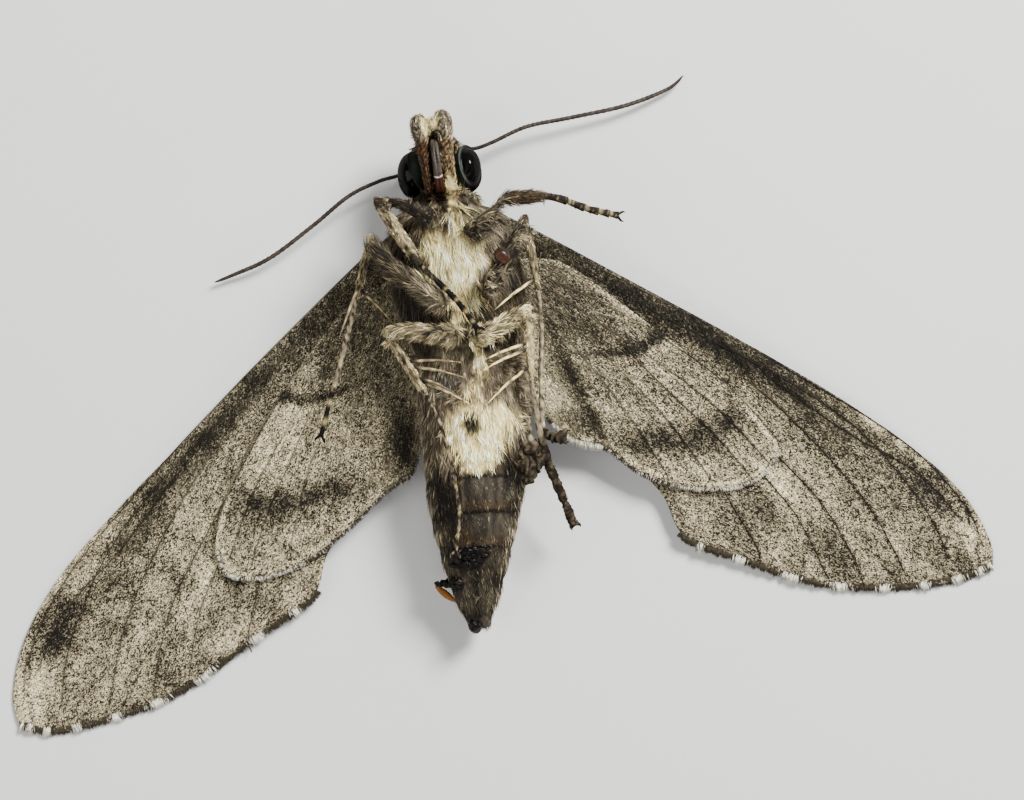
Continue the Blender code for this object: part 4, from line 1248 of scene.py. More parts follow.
def abdomen_colours(at):
    """Pale grey belly with a cream patch, dark bare rings behind it, and a barred back."""
    x, y, fine, noise, beside = at.across, at.y, at.fine, at.noise, np.abs(at.across)
    rings = np.cos((y + RING_START) / RING_SPACING * 2 * math.pi)
    ring_share = ((-y - RING_START - 0.15 * x * x / 4) / RING_SPACING) % 1.0
    rear = ramp(-y, 16.4, 16.9)
    seams = ramp(ring_share, 0.93, 0.97) + ramp(-ring_share, -0.06, -0.03)
    rust = ramp(ring_share, 0.55, 0.8) * ramp(x + 0.8 * noise, -2.0, 0.0)
    low = blend(GREY_BROWN, (PALE_GREY, 0.22 + 0.40 * fine + 0.15 * noise),
                (blend(DARK, (GREY_BROWN * 1.2, 0.50 + 0.6 * fine + 0.2 * noise)), ramp(-y, 14.8, 16.5)),
                (DARK, 0.85 * ramp(beside, 3.1, 4.3) * ramp(-y, 9.0, 12.0)))
    low = blend(at.marked(low, ABDOMEN_MARKS),
                # slate on the +X side of the rear: the rings' grey colour with a painted sheen on the side
                # the key light falls on
                (blend(SLATE * 0.8, (SLATE * 1.5, 0.5 + 0.6 * fine)), 0.75 * rear * ramp(x, -1.6, -0.2)),
                (TUFT_BROWN * 0.7, 0.55 * rear * rust), (BLACK, 0.9 * rear * seams))
    low = blend(at.marked(low, REAR_MARKS) * (1 - 0.55 * ramp(-y, 22.5, 25.0))[:, None],
                (DARK * 0.8, 0.4 * rear * ramp(ripple(at.points, 1.1, 50), 0.15, 0.6)),
                (BLACK, wetness(at.points)))
    bars = ramp(beside / np.maximum(4.6 + (y + 13) * 0.13, 1.0), 0.38, 0.5) * ramp(rings, -0.2, 0.3)
    high = blend(PALE_GREY * 0.5, (GREY_BROWN * 0.7, 0.5 + 0.5 * fine), (BLACK * 2.0, 0.8 * bars),
                 (BLACK * 2.0, 0.85 * bump_at(x, 0.0, 0.4)))
    shade = (1 - 0.45 * ramp(rings, 0.86, 1.0) * ramp(-y, 16.0, 18.0)) * (1 - 0.40 * ramp(-y, 22.5, 25.5))
    return blend(high, (low, at.up)) * shade[:, None]


def head_colours(at):
    """Brown head with a dark throat, and cream beside the tongue's root."""
    x, y, fine, belly = at.x, at.y, at.fine, ramp(at.z, 3.5, 5.0)
    return blend(DARK * 1.2, (GREY_BROWN, 0.45 + 0.55 * fine + 0.25 * at.noise),
                 (PALE_GREY, 0.7 * ramp(x, 0.9, 2.2) * ramp(-y, -9.5, -8.0) * (0.6 + 0.5 * fine)),
                 (DARK, 0.9 * at.mark(-0.6, 8.1, 1.0, 1.5) * belly),
                 (TUFT_BROWN * 0.5, 0.8 * ramp(y, 10.8, 11.6)),
                 (TUFT_BROWN * 0.6, at.mark(-1.3, 8.3, 1.1, 0.55, 25) * belly),
                 (CREAM * 0.9, 0.85 * at.mark(0.55, 8.2, 1.3, 0.42, 5) * belly))


def palp_colours(at):
    """Speckled palps, and the brown strips that run down from them beside the tongue."""
    speck = ripple(at.points, 0.20, 44)
    strips = blend(DARK * 1.3, (TAN, 0.22 + 0.65 * speck))
    strips = blend(strips, (strips * (0.45, 0.32, 0.24), ramp(-at.x, 0.6, 1.0)))
    palp = blend(DARK * 1.3, (PALE_GREY, 0.30 + 0.62 * speck), (strips, ramp(-at.y, -12.7, -11.9)),
                 (CREAM, 0.60 * at.mark(-1.20, 13.8, 1.1, 0.32)),
                 (CREAM * 0.8, 0.50 * at.mark(-0.45, 14.1, 0.9, 0.26)),
                 (CREAM * 0.8, 0.8 * at.mark(0.45, 8.3, 0.9, 0.42)))
    return palp, strips


def body_colours(points, parts):
    """The marks on the body and legs, the same for skin and coat."""
    at = Spot(points)
    palp, strips = palp_colours(at)
    beside = ramp(at.y, 8.7, 9.3) * ramp(-at.y, -12.9, -12.3) * ramp(at.z, 4.6, 5.6)
    colour = blend(thorax_colours(at), (abdomen_colours(at), ramp(-at.y, 5.3, 6.4)),
                   (head_colours(at), ramp(at.y, 6.9, 7.7)), (strips, beside * (parts == HEAD)))
    colour = np.where(np.isin(parts, PALPS)[:, None], palp, colour)
    for number, name in enumerate(PART_NAMES[FIRST_LEG:], start=FIRST_LEG):
        here = parts == number
        colour[here] = leg_colours(points[here], name)
    return np.clip(colour, 0.003, 0.92)


def leg_colours(points, name):
    """Speckled legs: dark at the hairs' roots, pale at their tips, each part in its own tone."""
    x, y, _ = points.T
    way = leg_way(name)
    drawn_out = points - 0.72 * np.outer(points @ way, way)
    speck = ripple(drawn_out, 0.17, 47) * 0.75 + 0.45 * ripple(drawn_out, 0.42, 85)
    wide = ripple(points, 1.1, 48)
    paleness, creaminess, _ = LEG_TONES[name]
    pale = blend(PALE_GREY * 1.25, (CREAM, creaminess))
    colour = blend(DARK * 1.4, (pale, paleness + 0.50 * speck + 0.15 * wide))
    knee = ramp(-np.linalg.norm(points - LEGS["foreleg_right"]["knee"], axis=1), -1.1, -0.7)
    furry = (CREAM * 0.9, 0.85 * ramp(-y, 4.9, 5.8) * (0.55 + 0.6 * speck))
    own = {
        "foreleg_right_femur": ((TUFT_BROWN * 0.35, knee),),
        "foreleg_right_tibia": ((TUFT_BROWN * 0.35, knee), (DARK, 0.9 * ramp(-y, -3.1, -2.2))),
        "foreleg_left_femur": ((GREY_BROWN * 0.6, 0.8 * ramp(y, 5.0, 6.0)),),
        "foreleg_left_tibia": ((TUFT_BROWN * 0.32, 0.9 * ramp(-y, -7.5, -7.0)),
                               (PALE_GREY, 0.25 * ramp(y, 7.3, 7.7))),
        "midleg_right_femur": ((PALE_GREY * 1.2, 0.35 * ramp(x, -3.6, -1.8)),
                               (GREY_BROWN * 0.38, 0.94 * ramp(-x, 1.9, 4.4) * (0.85 + 0.3 * wide))),
        "hindleg_right_femur": (furry,),
        "hindleg_left_femur": (furry,),
    }
    return blend(colour, *own.get(name, ()))


def wetness(points):
    """Where the underside of the abdomen is wet, 0 to 1."""
    x, y, z = points.T
    ragged = 0.35 * ripple(points, 0.6, 49)
    wet = sum(oval(x + ragged, y + ragged, (a, b), long, wide, 0) for a, b, long, wide in WET_MARKS)
    return np.clip(wet, 0, 1) * ramp(z, 2.2, 3.4)


def skin_unwrap(points, parts):
    """The skin laid out flat: the body rolled out round its middle line, each leg part in its own strip."""
    x, y, z = points.T
    angle = (np.arctan2(x - body_middle(y), z - 4.3) / (2 * math.pi)) % 1.0
    uv = np.column_stack([0.01 + angle * 0.98, 0.30 + np.clip((y + 31) / 47, 0, 1) * 0.69])
    for lane, number in enumerate(range(PALPS[0], len(PART_NAMES))):
        here = parts == number
        if not here.any():
            continue
        across, down = lane % 7, lane // 7
        place = points[here]
        low, high = place.min(axis=0), place.max(axis=0)
        long_axis = np.argmax(high - low)
        first, second = (k for k in range(3) if k != long_axis)
        offset = place - (low + high) / 2
        turn = np.arctan2(offset[:, first], offset[:, second])
        share = (place[:, long_axis] - low[long_axis]) / max(high[long_axis] - low[long_axis], 1e-6)
        uv[here, 0] = 0.01 + (across + 0.05 + 0.88 * share) / 7 * 0.98
        uv[here, 1] = 0.01 + (down + 0.05 + 0.9 * (turn / (2 * math.pi) + 0.5)) / 2 * 0.27
    return uv


def scatter(piece, density, seed):
    """Even random places on a piece: points, normals, and the numbers of the faces they are on."""
    rng = np.random.default_rng(seed)
    piece.data.calc_loop_triangles()
    count = len(piece.data.loop_triangles)
    corners = np.empty(count * 3, np.int32)
    piece.data.loop_triangles.foreach_get("vertices", corners)
    corners = corners.reshape(-1, 3)
    points, normals = points_of(piece), normals_of(piece)
    a, b, c = (points[corners[:, k]] for k in range(3))
    area = np.linalg.norm(np.cross(b - a, c - a), axis=1) / 2
    weight = area * density[corners[:, 0]]
    total = rng.poisson(weight.sum())
    chosen = rng.choice(count, size=total, p=weight / weight.sum())
    r, s = rng.uniform(0, 1, total), rng.uniform(0, 1, total)
    flip = r + s > 1
    r, s = np.where(flip, 1 - r, r)[:, None], np.where(flip, 1 - s, s)[:, None]

    def between(rows):
        a, b, c = (rows[corners[chosen, k]] for k in range(3))
        return a + (b - a) * r + (c - a) * s

    return between(points), unit(between(normals)), corners[chosen, 0], rng


def coat_plan(points, parts, rng):
    """Length, width and lift of the coat at each place."""
    x, y, z = points.T
    count = len(x)
    across = np.abs(x - body_middle(y))
    up = ramp(z, 4.5, 7.0)
    chest = up * ramp(y, -6.5, -3.0) * ramp(-y, -8.0, -6.5)
    rear = up * ramp(-y, 16.3, 17.0)
    length = 0.9 + 1.1 * chest + 0.5 * (1 - up) * ramp(y, -6.0, -4.0)
    length = length + 0.5 * up * bump_at(y, -14.5, 2.0) * ramp(-across, -4.2, -3.4)
    length = length + 0.6 * (1 - up) * ramp(across, 3.0, 4.5) * ramp(-y, 5, 8)
    length = np.where(y < -29.3, 0.9, length * (1 - 0.48 * rear))
    bare, hem = up * oval(x, y, (0.45, -0.5), 0.5, 0.9, 0), up * oval(x, y, (0.9, -15.9), 1.3, 2.2, 0)
    length = length * (1 - 0.6 * bare) * (1 - 0.5 * hem)
    width, lift = 0.075 - 0.020 * rear, 0.14 + 0.02 * chest - 0.03 * rear
    plan = [np.where(parts == HEAD, own, rest) for own, rest in zip(HEAD_HAIR, (length, width, lift))]
    neck = ramp(z, 3.0, 6.0) * bump_at(y, 7.0, 1.5)
    plan = plan[0] + 0.7 * neck, plan[1] - 0.025 * np.maximum(neck, chest), plan[2] + 0.12 * neck
    palp = np.isin(parts, PALPS)
    length, width, lift = (np.where(palp, own, rest) for own, rest in zip(PALP_HAIR, plan))
    leg, femur = parts >= FIRST_LEG, (parts - FIRST_LEG) % 2 == 0
    by_leg = np.array([0.0] * FIRST_LEG + [LEG_TONES[name][2] for name in PART_NAMES[FIRST_LEG:]])
    knob = np.linalg.norm(points - LEGS["foreleg_right"]["knee"], axis=1) < 1.1
    length = np.where(leg, by_leg[parts] * np.where(knob, 0.6, 1.0), length)
    width, lift = (np.where(leg, np.where(femur, thigh, shin), rest)
                   for thigh, shin, rest in zip(FEMUR_HAIR, TIBIA_HAIR, (width, lift)))
    length = length * (0.65 + 0.6 * rng.uniform(0, 1, count))
    return length, width * rng.uniform(0.8, 1.25, count), lift * rng.uniform(0.5, 1.6, count)


def gather(roots, lie, length, parts, rng):
    """Draws neighbouring tufts together into pointed locks.

    Gives the new lie, the number of each tuft's lock, and how far from the lock's middle it stands."""
    drawn_out = roots * np.where(parts[:, None] < FIRST_LEG, (1.0, 0.42, 1.0), 0.8)
    middles = rng.choice(len(roots), size=int(len(roots) * LOCK_SHARE), replace=False)
    number, far = nearest(drawn_out[middles], drawn_out)
    offset = laid(roots[middles[number]] - roots, lie)
    return unit(lie + offset * (LOCK_PULL / np.maximum(length, 0.3))[:, None]), number, far


# The coat's pieces: name, where each lies, its slot and the rings of each of its tufts.
COAT_PIECES = (
    ("coat_chest", lambda z, parts: (parts == THORAX) & (z > 4.6), "body_hair", 3),
    ("coat_back", lambda z, parts: (parts == THORAX) & (z <= 4.6), "body_hair", 2),
    ("coat_belly", lambda z, parts: (parts == ABDOMEN) & (z > 4.2), "body_hair", 3),
    ("coat_abdomen_back", lambda z, parts: (parts == ABDOMEN) & (z <= 4.2), "body_hair", 2),
    ("coat_head", lambda z, parts: (parts >= HEAD) & (parts < FIRST_LEG), "head_hair", 2),
    ("coat_legs", lambda z, parts: parts >= FIRST_LEG, "leg_scales", 2),
)


def eye_centre(side):
    return np.array((HEAD_MIDDLE_X + side * EYE_SPREAD, EYE_CENTRE_Y[side], EYE_CENTRE_Z))


def bare_skin(roots, rng):
    """Where no hair grows: the eyes, the bare joint, the wet spots and the tip's opening."""
    bare = np.linalg.norm(roots - TIP_HOLE, axis=1) < 0.95
    bare |= (roots[:, 1] < -28.9) & (roots[:, 2] > 2.6) & (np.abs(roots[:, 0] - TIP_HOLE[0]) < 0.62)
    balls = [(eye_centre(side), np.array(EYE_SIZE) + 0.05) for side in (LEFT, RIGHT)]
    for centre, size in (*balls, (BOSS_CENTRE, np.array(BOSS_SIZE) * (1.6, 1.6, 2.2))):
        bare |= np.sum(((roots - centre) / size) ** 2, axis=1) < 1.0
    return bare | (rng.uniform(0, 1, len(roots)) < wetness(roots) * 0.93)


def make_coats(settings, skin, material):
    """The coat over the whole skin, in pieces by region."""
    x, y, z = points_of(skin).T
    skin_parts = parts_at(points_of(skin))
    density = np.full(len(x), float(settings.hair_density))
    density[skin_parts >= HEAD] *= 1.3
    density[(z > 5.0) & (skin_parts <= HEAD) & (y > -3.0)] *= 1.35
    density[(z < 4.4) & (skin_parts < HEAD)] *= 0.55
    roots, normals, where, rng = scatter(skin, density, 77)
    parts = skin_parts[where]
    keep = ~bare_skin(roots, rng) & (roots[:, 2] > 0.05)
    roots, normals, parts = roots[keep], normals[keep], parts[keep]
    count, y, z = len(roots), roots[:, 1], roots[:, 2]
    clump = np.column_stack([ripple(roots, 0.9, 90 + k) for k in range(3)])
    lie = body_lie(roots, parts) + 0.34 * clump + rng.normal(0, 0.10, roots.shape)
    lie = unit(laid(lie, normals))
    length, width, lift = coat_plan(roots, parts, rng)
    lock = ripple(roots, 0.55, 95)
    lift = np.clip(lift * (1 + 0.6 * lock), 0.03, 0.8)
    # hair lies flat where it would pass through the floor
    tip_z = z + lie[:, 2] * length
    lift = np.where((z < 1.2) | (tip_z < 0.3), 0.02, lift)
    length = np.where(tip_z < 0.1, length * 0.6, length)
    # every tuft, every lock and every streak of locks has its own tone
    streak = ripple(roots * np.where(parts[:, None] < FIRST_LEG, (1.0, 0.3, 0.6), 1.0), 0.33, 96)
    colour = body_colours(roots, parts) * np.clip(1.10 + 0.40 * lock + 0.50 * streak, 0.15, 1.9)[:, None]
    strand = rng.uniform(0, 1, count)
    colour = colour * (0.42 + 1.20 * strand)[:, None]
    colour = np.where((strand > 0.94)[:, None], colour * 0.6 + PALE_GREY * 0.4, colour)
    lie, number, far = gather(roots, lie, length, parts, rng)
    lock_tone = rng.uniform(0.70, 1.35, number.max() + 1)[number]
    # tufts far from their lock's middle are painted darker: painted shade in the gaps between the locks
    colour = colour * (lock_tone * np.clip(1.30 - 1.9 * far, 0.35, 1.2))[:, None]
    colour = colour * (1 + 0.35 * np.clip(colour.mean(axis=1) * 1.3, 0, 1))[:, None]
    hind_end = (parts == ABDOMEN) & (y < -16.8) & (strand > 0.80) & (strand < 0.94)
    colour = np.where(hind_end[:, None], colour * 1.3 + PALE_GREY * 0.06, colour)
    colour = np.where((strand < 0.12)[:, None], colour * 0.35, colour)
    # a few pale hairs stand out along the sides of the abdomen
    side = (parts == ABDOMEN) & (y < -9) & (np.abs(normals[:, 2]) < 0.6)
    stray = side & (rng.uniform(0, 1, count) < 0.05)
    length, lift = np.where(stray, 1.1, length), np.where(stray & (z > 1.5), 0.42, lift)
    colour = np.clip(np.where(stray[:, None], PALE_GREY, colour), 0, 0.95)
    uv = skin_unwrap(roots, parts)
    for name, chosen, slot, rings in COAT_PIECES:
        here = chosen(z, parts)
        bend = rng.normal(0, 0.14, here.sum()) + 0.10 * clump[here, 0]
        piece = tufts(name, *(rows[here] for rows in (roots, lie, normals, length, width, lift)), bend,
                      colour[here], uv[here], rings, root_gain=0.30, tip_gain=1.35)
        finish(piece, material, slot)


# ------------------------------------------------------------------ eyes, tongue, feelers, feet


def make_eyes(material):
    """Each eye: a smooth bulge with a slate rim, sunk in where it has dried."""
    for side, word in WORDS.items():
        piece = sphere(f"eyeball_{word}", (0, 0, 0), (1, 1, 1), 80, 56)
        ball = points_of(piece)[:, (2, 0, 1)]
        way, edge, depth = EYE_DISCS[side]
        facing = ball @ np.array(way)
        inside = ramp(facing, edge, edge + 0.07)
        sunk = inside * ramp(-facing, -1.0, -edge - 0.2) * 0.5 + inside * 0.5
        medial = ramp(-side * ball[:, 0], -0.30, 0.35)
        ridge = 0.030 * bump_at(facing, edge - 0.03, 0.04) * medial
        dimples = 0.010 * ripple(ball, 0.45, 60 + side) * inside
        ball = ball * (1 - depth * sunk + ridge + dimples)[:, None]
        set_points(piece, ball * np.array(EYE_SIZE) + eye_centre(side))
        colour = blend(BLACK, (blend(EYE_RIM, (EYE_DRY, inside)), medial))
        paint(piece, "coat", np.column_stack([colour, 1 - inside]))
        apply_modifier(piece, "SUBSURF", levels=1, render_levels=1)
        face_outwards()
        bpy.ops.object.shade_smooth()
        finish(piece, material, "eyes", f"eye_{word}")


def make_tongue(material):
    """The coiled tongue: two half tubes side by side, ringed, with a pale ring at the bend."""
    outer, inner = TONGUE_COIL
    shares = np.linspace(0, 1, 90)
    radius = outer + (inner - outer) * shares
    angle = math.radians(250) - shares * TONGUE_TURNS * 2 * math.pi
    ahead = radius * np.cos(angle)
    z = TONGUE_CENTRE[2] + radius * np.sin(angle) * TONGUE_FLATTENING
    pieces = []
    for aside in (-0.12, 0.12):
        x = TONGUE_CENTRE[0] + TONGUE_SLANT * ahead + aside * TONGUE_BREADTH
        path = np.column_stack([x, TONGUE_CENTRE[1] + ahead, z])
        rings = 0.235 + 0.010 * np.cos(np.arange(360) * 2 * math.pi / 4)
        pieces.append(tube("half", path, rings * np.linspace(1.0, 0.85, 360), 10, 360))
    piece = join("tongue", pieces)
    points = points_of(piece)
    x, y, z = points.T
    streak = ripple(points * (3.0, 0.6, 1.0), 0.5, 91)
    arc = TONGUE_BEND + 0.9 * (x - TONGUE_CENTRE[0]) ** 2
    # the pale TONGUE_SHINE streaks are the grooves' own grey with painted highlights along them
    paint(piece, "coat", blend(TONGUE_DARK, (TONGUE_SHINE, 0.38 + 0.7 * streak),
                               (TONGUE_ROOT, ramp(-y, -9.5, -8.9)),
                               (TONGUE_RING, 0.9 * bump_at(y, arc, 0.032) * ramp(z, 8.4, 8.8))))
    finish(piece, material, "tongue", "proboscis")


def make_feelers(material):
    """Feelers of many short joints, thickest past the middle, hooked to a thread at the tip."""
    count = FEELER_JOINTS * 6
    share = np.linspace(0, 1, count)
    beads = 1 + 0.09 * np.cos(share * FEELER_JOINTS * 2 * math.pi)
    for side, word in WORDS.items():
        piece = tube(f"feeler_{word}", ANTENNAE[side], np.interp(share, *FEELER_SHAPE) * beads, 12, count)
        pale = ramp(-normals_of(piece)[:, 2], 0.15, 0.6)
        streak = ramp(ripple(points_of(piece), 0.25, 9), -0.2, 0.6)
        paint(piece, "coat", blend(FEELER_BROWN, (PALE_GREY * 0.8, pale * 0.9),
                                   (GREY_BROWN * 0.7, 0.35 * streak)))
        finish(piece, material, "antennae", f"antenna_{word}")


def thorn(name, start, end, radius, bow=(0, 0, 0), sides=8, points=10):
    """A pointed spur, claw or bristle."""
    start, end = np.array(start, float), np.array(end, float)
    middle = (start + end) / 2 + np.array(bow)
    return tube(name, (start, middle, end), (radius, radius * 0.85, 0.02), sides, points)


def make_feet(material):
    """Five-jointed feet with bristles and paired claws."""
    rng = np.random.default_rng(5)
    share = np.linspace(0, 1, 120)
    for leg, plan in LEGS.items():
        foot = plan["radii"][2] * FOOT_FULLNESS.get(leg, 1.0)
        path = (plan["ankle"], *plan["foot"])
        joint = np.clip(np.searchsorted(FOOT_JOINTS, share, side="right") - 1, 0, 4)
        inside = (share - FOOT_JOINTS[joint]) / (FOOT_JOINTS[joint + 1] - FOOT_JOINTS[joint])
        waist = 1.0 if leg == "hindleg_left" else 0.72
        shape = foot * (0.62 + 0.22 * inside ** 1.5) * np.where((inside < 0.04) | (inside > 0.97), waist, 1.0)
        pieces = [tube("segments", path, shape * np.linspace(1.05, 0.95, 120), 10, 120)]
        line = rows_at(path, share)
        toe, ahead = line[-1], unit(line[-1] - line[-6])
        aside = unit(np.cross(ahead, (0, 0, 1.0)))
        reach = 0.6 if leg in FOOT_DIRT else 1.0
        for sign in (1, -1):
            end = toe + (ahead * 0.62 + aside * sign * 0.42) * reach - np.array((0, 0, 0.12))
            pieces.append(thorn("claw", toe - ahead * 0.1, end, 0.12, bow=ahead * 0.05 + aside * sign * 0.16))
        for _ in range(26):
            at = int(rng.uniform(8, 112))
            way = unit(line[at + 3] - line[at - 3])
            out = unit(np.cross(way, rng.normal(size=3)))
            root = line[at] + out * foot * 0.5
            pieces.append(thorn("bristle", root, root + way * 0.34 + out * 0.17, 0.035, sides=4, points=4))
        if leg == "hindleg_left":
            for _ in range(46):
                place = np.array(CLOD_CENTRE) + rng.uniform(-1, 1, 3) * (0.95, 1.6, 0.12)
                if abs(place[0] - CLOD_CENTRE[0]) + abs(place[1] - CLOD_CENTRE[1]) / 1.9 < 1.1:
                    pieces.append(lump(place, rng.uniform(0.18, 0.85, 3) * (1, 1, 0.5), rng))
        piece = join(f"foot_{leg}", pieces)
        points = points_of(piece)
        near = share[nearest(line, points)[0]]
        speck = ripple(points, 0.28, 88)
        paleness, cut = FOOT_TONES[leg]
        bands = sum(bump_at(near, end + 0.01, 0.018) for end in FOOT_JOINTS[1:5])
        layers = [(PALE_GREY, paleness + 0.35 * speck), (BLACK * 1.2, ramp(near, cut, cut + 0.05)),
                  (CREAM * 0.6, np.clip(bands, 0, 1) * 0.55 * (abs(paleness) + 0.25))]
        if leg in FOOT_DIRT:
            thick, begin = FOOT_DIRT[leg]
            lumps = np.clip(0.75 + 0.30 * ripple(points, 0.9, 89) + 0.35 * ripple(points, 0.25, 87), 0, 1.6)
            outward = unit(points - rows_at(path, near))
            points = points + outward * (thick * lumps * ramp(near, begin, begin + 0.1))[:, None]
            set_points(piece, points)
            mud = blend(DARK * 0.6, (GREY_BROWN * 0.8, 0.12 + 0.7 * speck + 0.3 * ripple(points, 1.1, 86)))
            layers.append((mud, ramp(near, begin - 0.02, begin + 0.04)))
        paint(piece, "coat", blend(DARK * 0.8, *layers))
        finish(piece, material, "feet", f"{leg}_tarsus")


def make_spurs(material):
    """Pale pointed spurs on the shins."""
    pieces, roots = [], []
    for leg, spurs in SPURS.items():
        plan = LEGS[leg]
        knee, ankle = np.array(plan["knee"]), np.array(plan["ankle"])
        along = unit(ankle - knee)
        for share, tip in spurs:
            middle = knee + (ankle - knee) * share
            reach = np.array(tip) - middle
            outward = unit(reach - along * (reach @ along))
            root = middle + outward * plan["radii"][1] * 0.35
            bow = outward * 0.12 - along * 0.10
            pieces.append(thorn("spur", root, tip, 0.130, bow=bow, sides=12, points=16))
            roots.append(root)
    piece = join("spurs", pieces)
    points = points_of(piece)
    speck = ripple(points, 0.32, 71)
    near = np.min([np.linalg.norm(points - root, axis=1) for root in roots], axis=0)
    colour = blend(CREAM * 0.66, (GREY_BROWN * 0.8, 0.22 + 1.1 * speck),
                   (GREY_BROWN * 1.1, 0.95 * ramp(-points[:, 0], -0.6, 0.6) * (1.0 + 0.5 * speck)))
    paint(piece, "coat", blend(DARK, (colour, ramp(near, 0.5, 0.9))))
    finish(piece, material, "leg_scales")


def lump(place, size, rng):
    """A small rough lump."""
    piece = sphere("lump", (0, 0, 0), (1, 1, 1), 16, 10)
    points = points_of(piece)
    points = points * (1 + 0.26 * ripple(points, 0.8, int(rng.integers(1, 9999))))[:, None]
    set_points(piece, points * np.array(size) + np.array(place))
    return piece


def make_crust(material, skin):
    """Wet clots where the rear of the abdomen has burst, and the dark opening at its tip."""
    rng = np.random.default_rng(19)
    ground = points_of(skin)
    ground = ground[(ground[:, 1] < -20) & (ground[:, 2] > 3.0)]
    pieces = []
    for x, y, long, wide in WET_MARKS:
        for _ in range(int(8 + 30 * long * wide)):
            px, py = x + wide * rng.uniform(-0.85, 0.85), y + long * rng.uniform(-0.85, 0.85)
            z = ground[np.argmin(np.hypot(ground[:, 0] - px, ground[:, 1] - py)), 2]
            size = rng.uniform(0.16, 0.38)
            pieces.append(lump((px, py, z + 0.04), (size * rng.uniform(0.9, 1.8), size, size * 0.7), rng))
    for step in range(9):
        place = (-2.7 - 0.14 * step, -26.1 + 0.12 * math.sin(step * 1.7), 3.0 + 0.12 * step)
        pieces.append(lump(place, (0.26, 0.24, 0.24), rng))
    for step in range(10):
        place = DROP_START + (DROP_END - DROP_START) * step / 9
        size = 0.16 + 0.18 * math.sin(math.pi * step / 9)
        pieces.append(sphere("drop", place, (size, size, size * 0.7), 16, 10))
    pieces.append(lump(TIP_HOLE, (0.64, 0.66, 0.70), rng))
    piece = join("abdomen_clots", pieces)
    points = points_of(piece)
    line = rows_at((DROP_START, DROP_END), np.linspace(0, 1, 12))
    near = np.min([np.linalg.norm(points - place, axis=1) for place in line], axis=0)
    paint(piece, "coat", blend(BLACK, (TUFT_BROWN * 0.15, ripple(points, 0.5, 21) - 0.3),
                               (AMBER, ramp(-near, -0.58, -0.50) * ramp(-points[:, 2], -2.75, -2.65))))
    finish(piece, material, "body_hair")


def make_boss(material):
    """The bare, glossy brown joint of the left middle leg."""
    piece = sphere("leg_boss", BOSS_CENTRE, BOSS_SIZE, 32, 20)
    points = points_of(piece)
    points[:, 2] += 0.05 * ripple(points, 0.5, 17)
    set_points(piece, points)
    dull = 0.25 + 0.5 * ripple(points, 0.4, 8) + ramp(points[:, 0] + points[:, 1], 6.1, 6.7)
    paint(piece, "coat", blend(BOSS_BROWN, (DARK, dull)))
    finish(piece, material, "feet")


# ------------------------------------------------------------------ stage


def make_stage(settings):
    """A plain pale floor, soft studio light and the camera."""
    nothing_selected()
    bpy.ops.mesh.primitive_plane_add(size=FLOOR_SIZE, location=(0, 0, -0.02 * MM))
    floor = added()
    floor.name = "floor"
    finish_ = Finish("pale floor", 0.85, 0.2)
    cloud = finish_.noise(finish_.place(), 9.0, detail=2)
    pale = settings.floor_colour
    finish_.set(Base_Color=finish_.mix(cloud, pale, (c * 0.97 for c in pale)))
    floor.data.materials.append(finish_.material)
    world = bpy.context.scene.world or bpy.data.worlds.new("studio")
    bpy.context.scene.world = world
    world.use_nodes = True
    sky = world.node_tree.nodes["Background"].inputs
    sky["Color"].default_value, sky["Strength"].default_value = SKY_COLOUR, SKY_STRENGTH
    for name, place, size, share in LAMPS:
        nothing_selected()
        bpy.ops.object.light_add(type="AREA", location=place)
        lamp = added()
        lamp.name = name
        lamp.data.size = size
        lamp.data.energy = settings.key_power * share
        lamp.rotation_mode = "QUATERNION"
        lamp.rotation_quaternion = (Vector(LIT_SPOT) - Vector(place)).to_track_quat("-Z", "Y")
    nothing_selected()
    bpy.ops.object.camera_add(location=(*CAMERA_SPOT, settings.camera_height))
    camera = added()
    camera.rotation_euler = (0.0, 0.0, settings.camera_roll)
    camera.data.sensor_width = 36.0
    camera.data.lens = settings.camera_lens
    camera.data.clip_start, camera.data.clip_end = 0.01, 5.0
    bpy.context.scene.camera = camera


# ------------------------------------------------------------------ the add-on


class MothSettings(bpy.types.PropertyGroup):
    """Sizes and colours of the moth that can be changed."""

    membrane_thickness: FloatProperty(
        name="Membrane thickness", description="Thickness of the wings' membrane", default=0.12 * MM,
        subtype="DISTANCE", precision=6)
    fringe_length: FloatProperty(
        name="Fringe length", description="Length of the fringe along the wings' outer margins",
        default=0.95 * MM, subtype="DISTANCE", precision=6)
    coat_depth: FloatProperty(
        name="Coat depth", description="How far the skin lies inside the coat's outline", default=0.42 * MM,
        subtype="DISTANCE", precision=6)
    hair_density: IntProperty(
        name="Hair density", description="Tufts of hair on each square millimetre of skin", default=36)
    scale_density: IntProperty(
        name="Scale density", description="Scales on each square millimetre of wing", default=44)
    pale_scale: FloatVectorProperty(
        name="Pale scales", description="Colour of the pale scales", default=(0.360, 0.308, 0.190),
        subtype="COLOR")
    dark_scale: FloatVectorProperty(
        name="Dark scales", description="Colour of the dark scales", default=(0.0125, 0.0088, 0.0045),
        subtype="COLOR")


class StageSettings(bpy.types.PropertyGroup):
    """Floor, light and camera."""

    floor_colour: FloatVectorProperty(
        name="Floor", description="Colour of the floor", default=(0.38, 0.375, 0.365), subtype="COLOR")
    key_power: FloatProperty(
        name="Key light", description="Power of the main light", default=10.0, subtype="POWER")
    camera_height: FloatProperty(
        name="Camera height", description="Height of the camera over the floor", default=0.204,
        subtype="DISTANCE")
    camera_lens: FloatProperty(
        name="Lens", description="Focal length in millimetres on a 36 mm sensor", default=79.9)
    camera_roll: FloatProperty(
        name="Camera roll", description="Turn of the camera about its line of sight",
        default=math.radians(-5), subtype="ANGLE")


WINGS = [(kind, side) for kind in ("fore", "hind") for side in (LEFT, RIGHT)]
MADE = {}  # pieces that later operators need


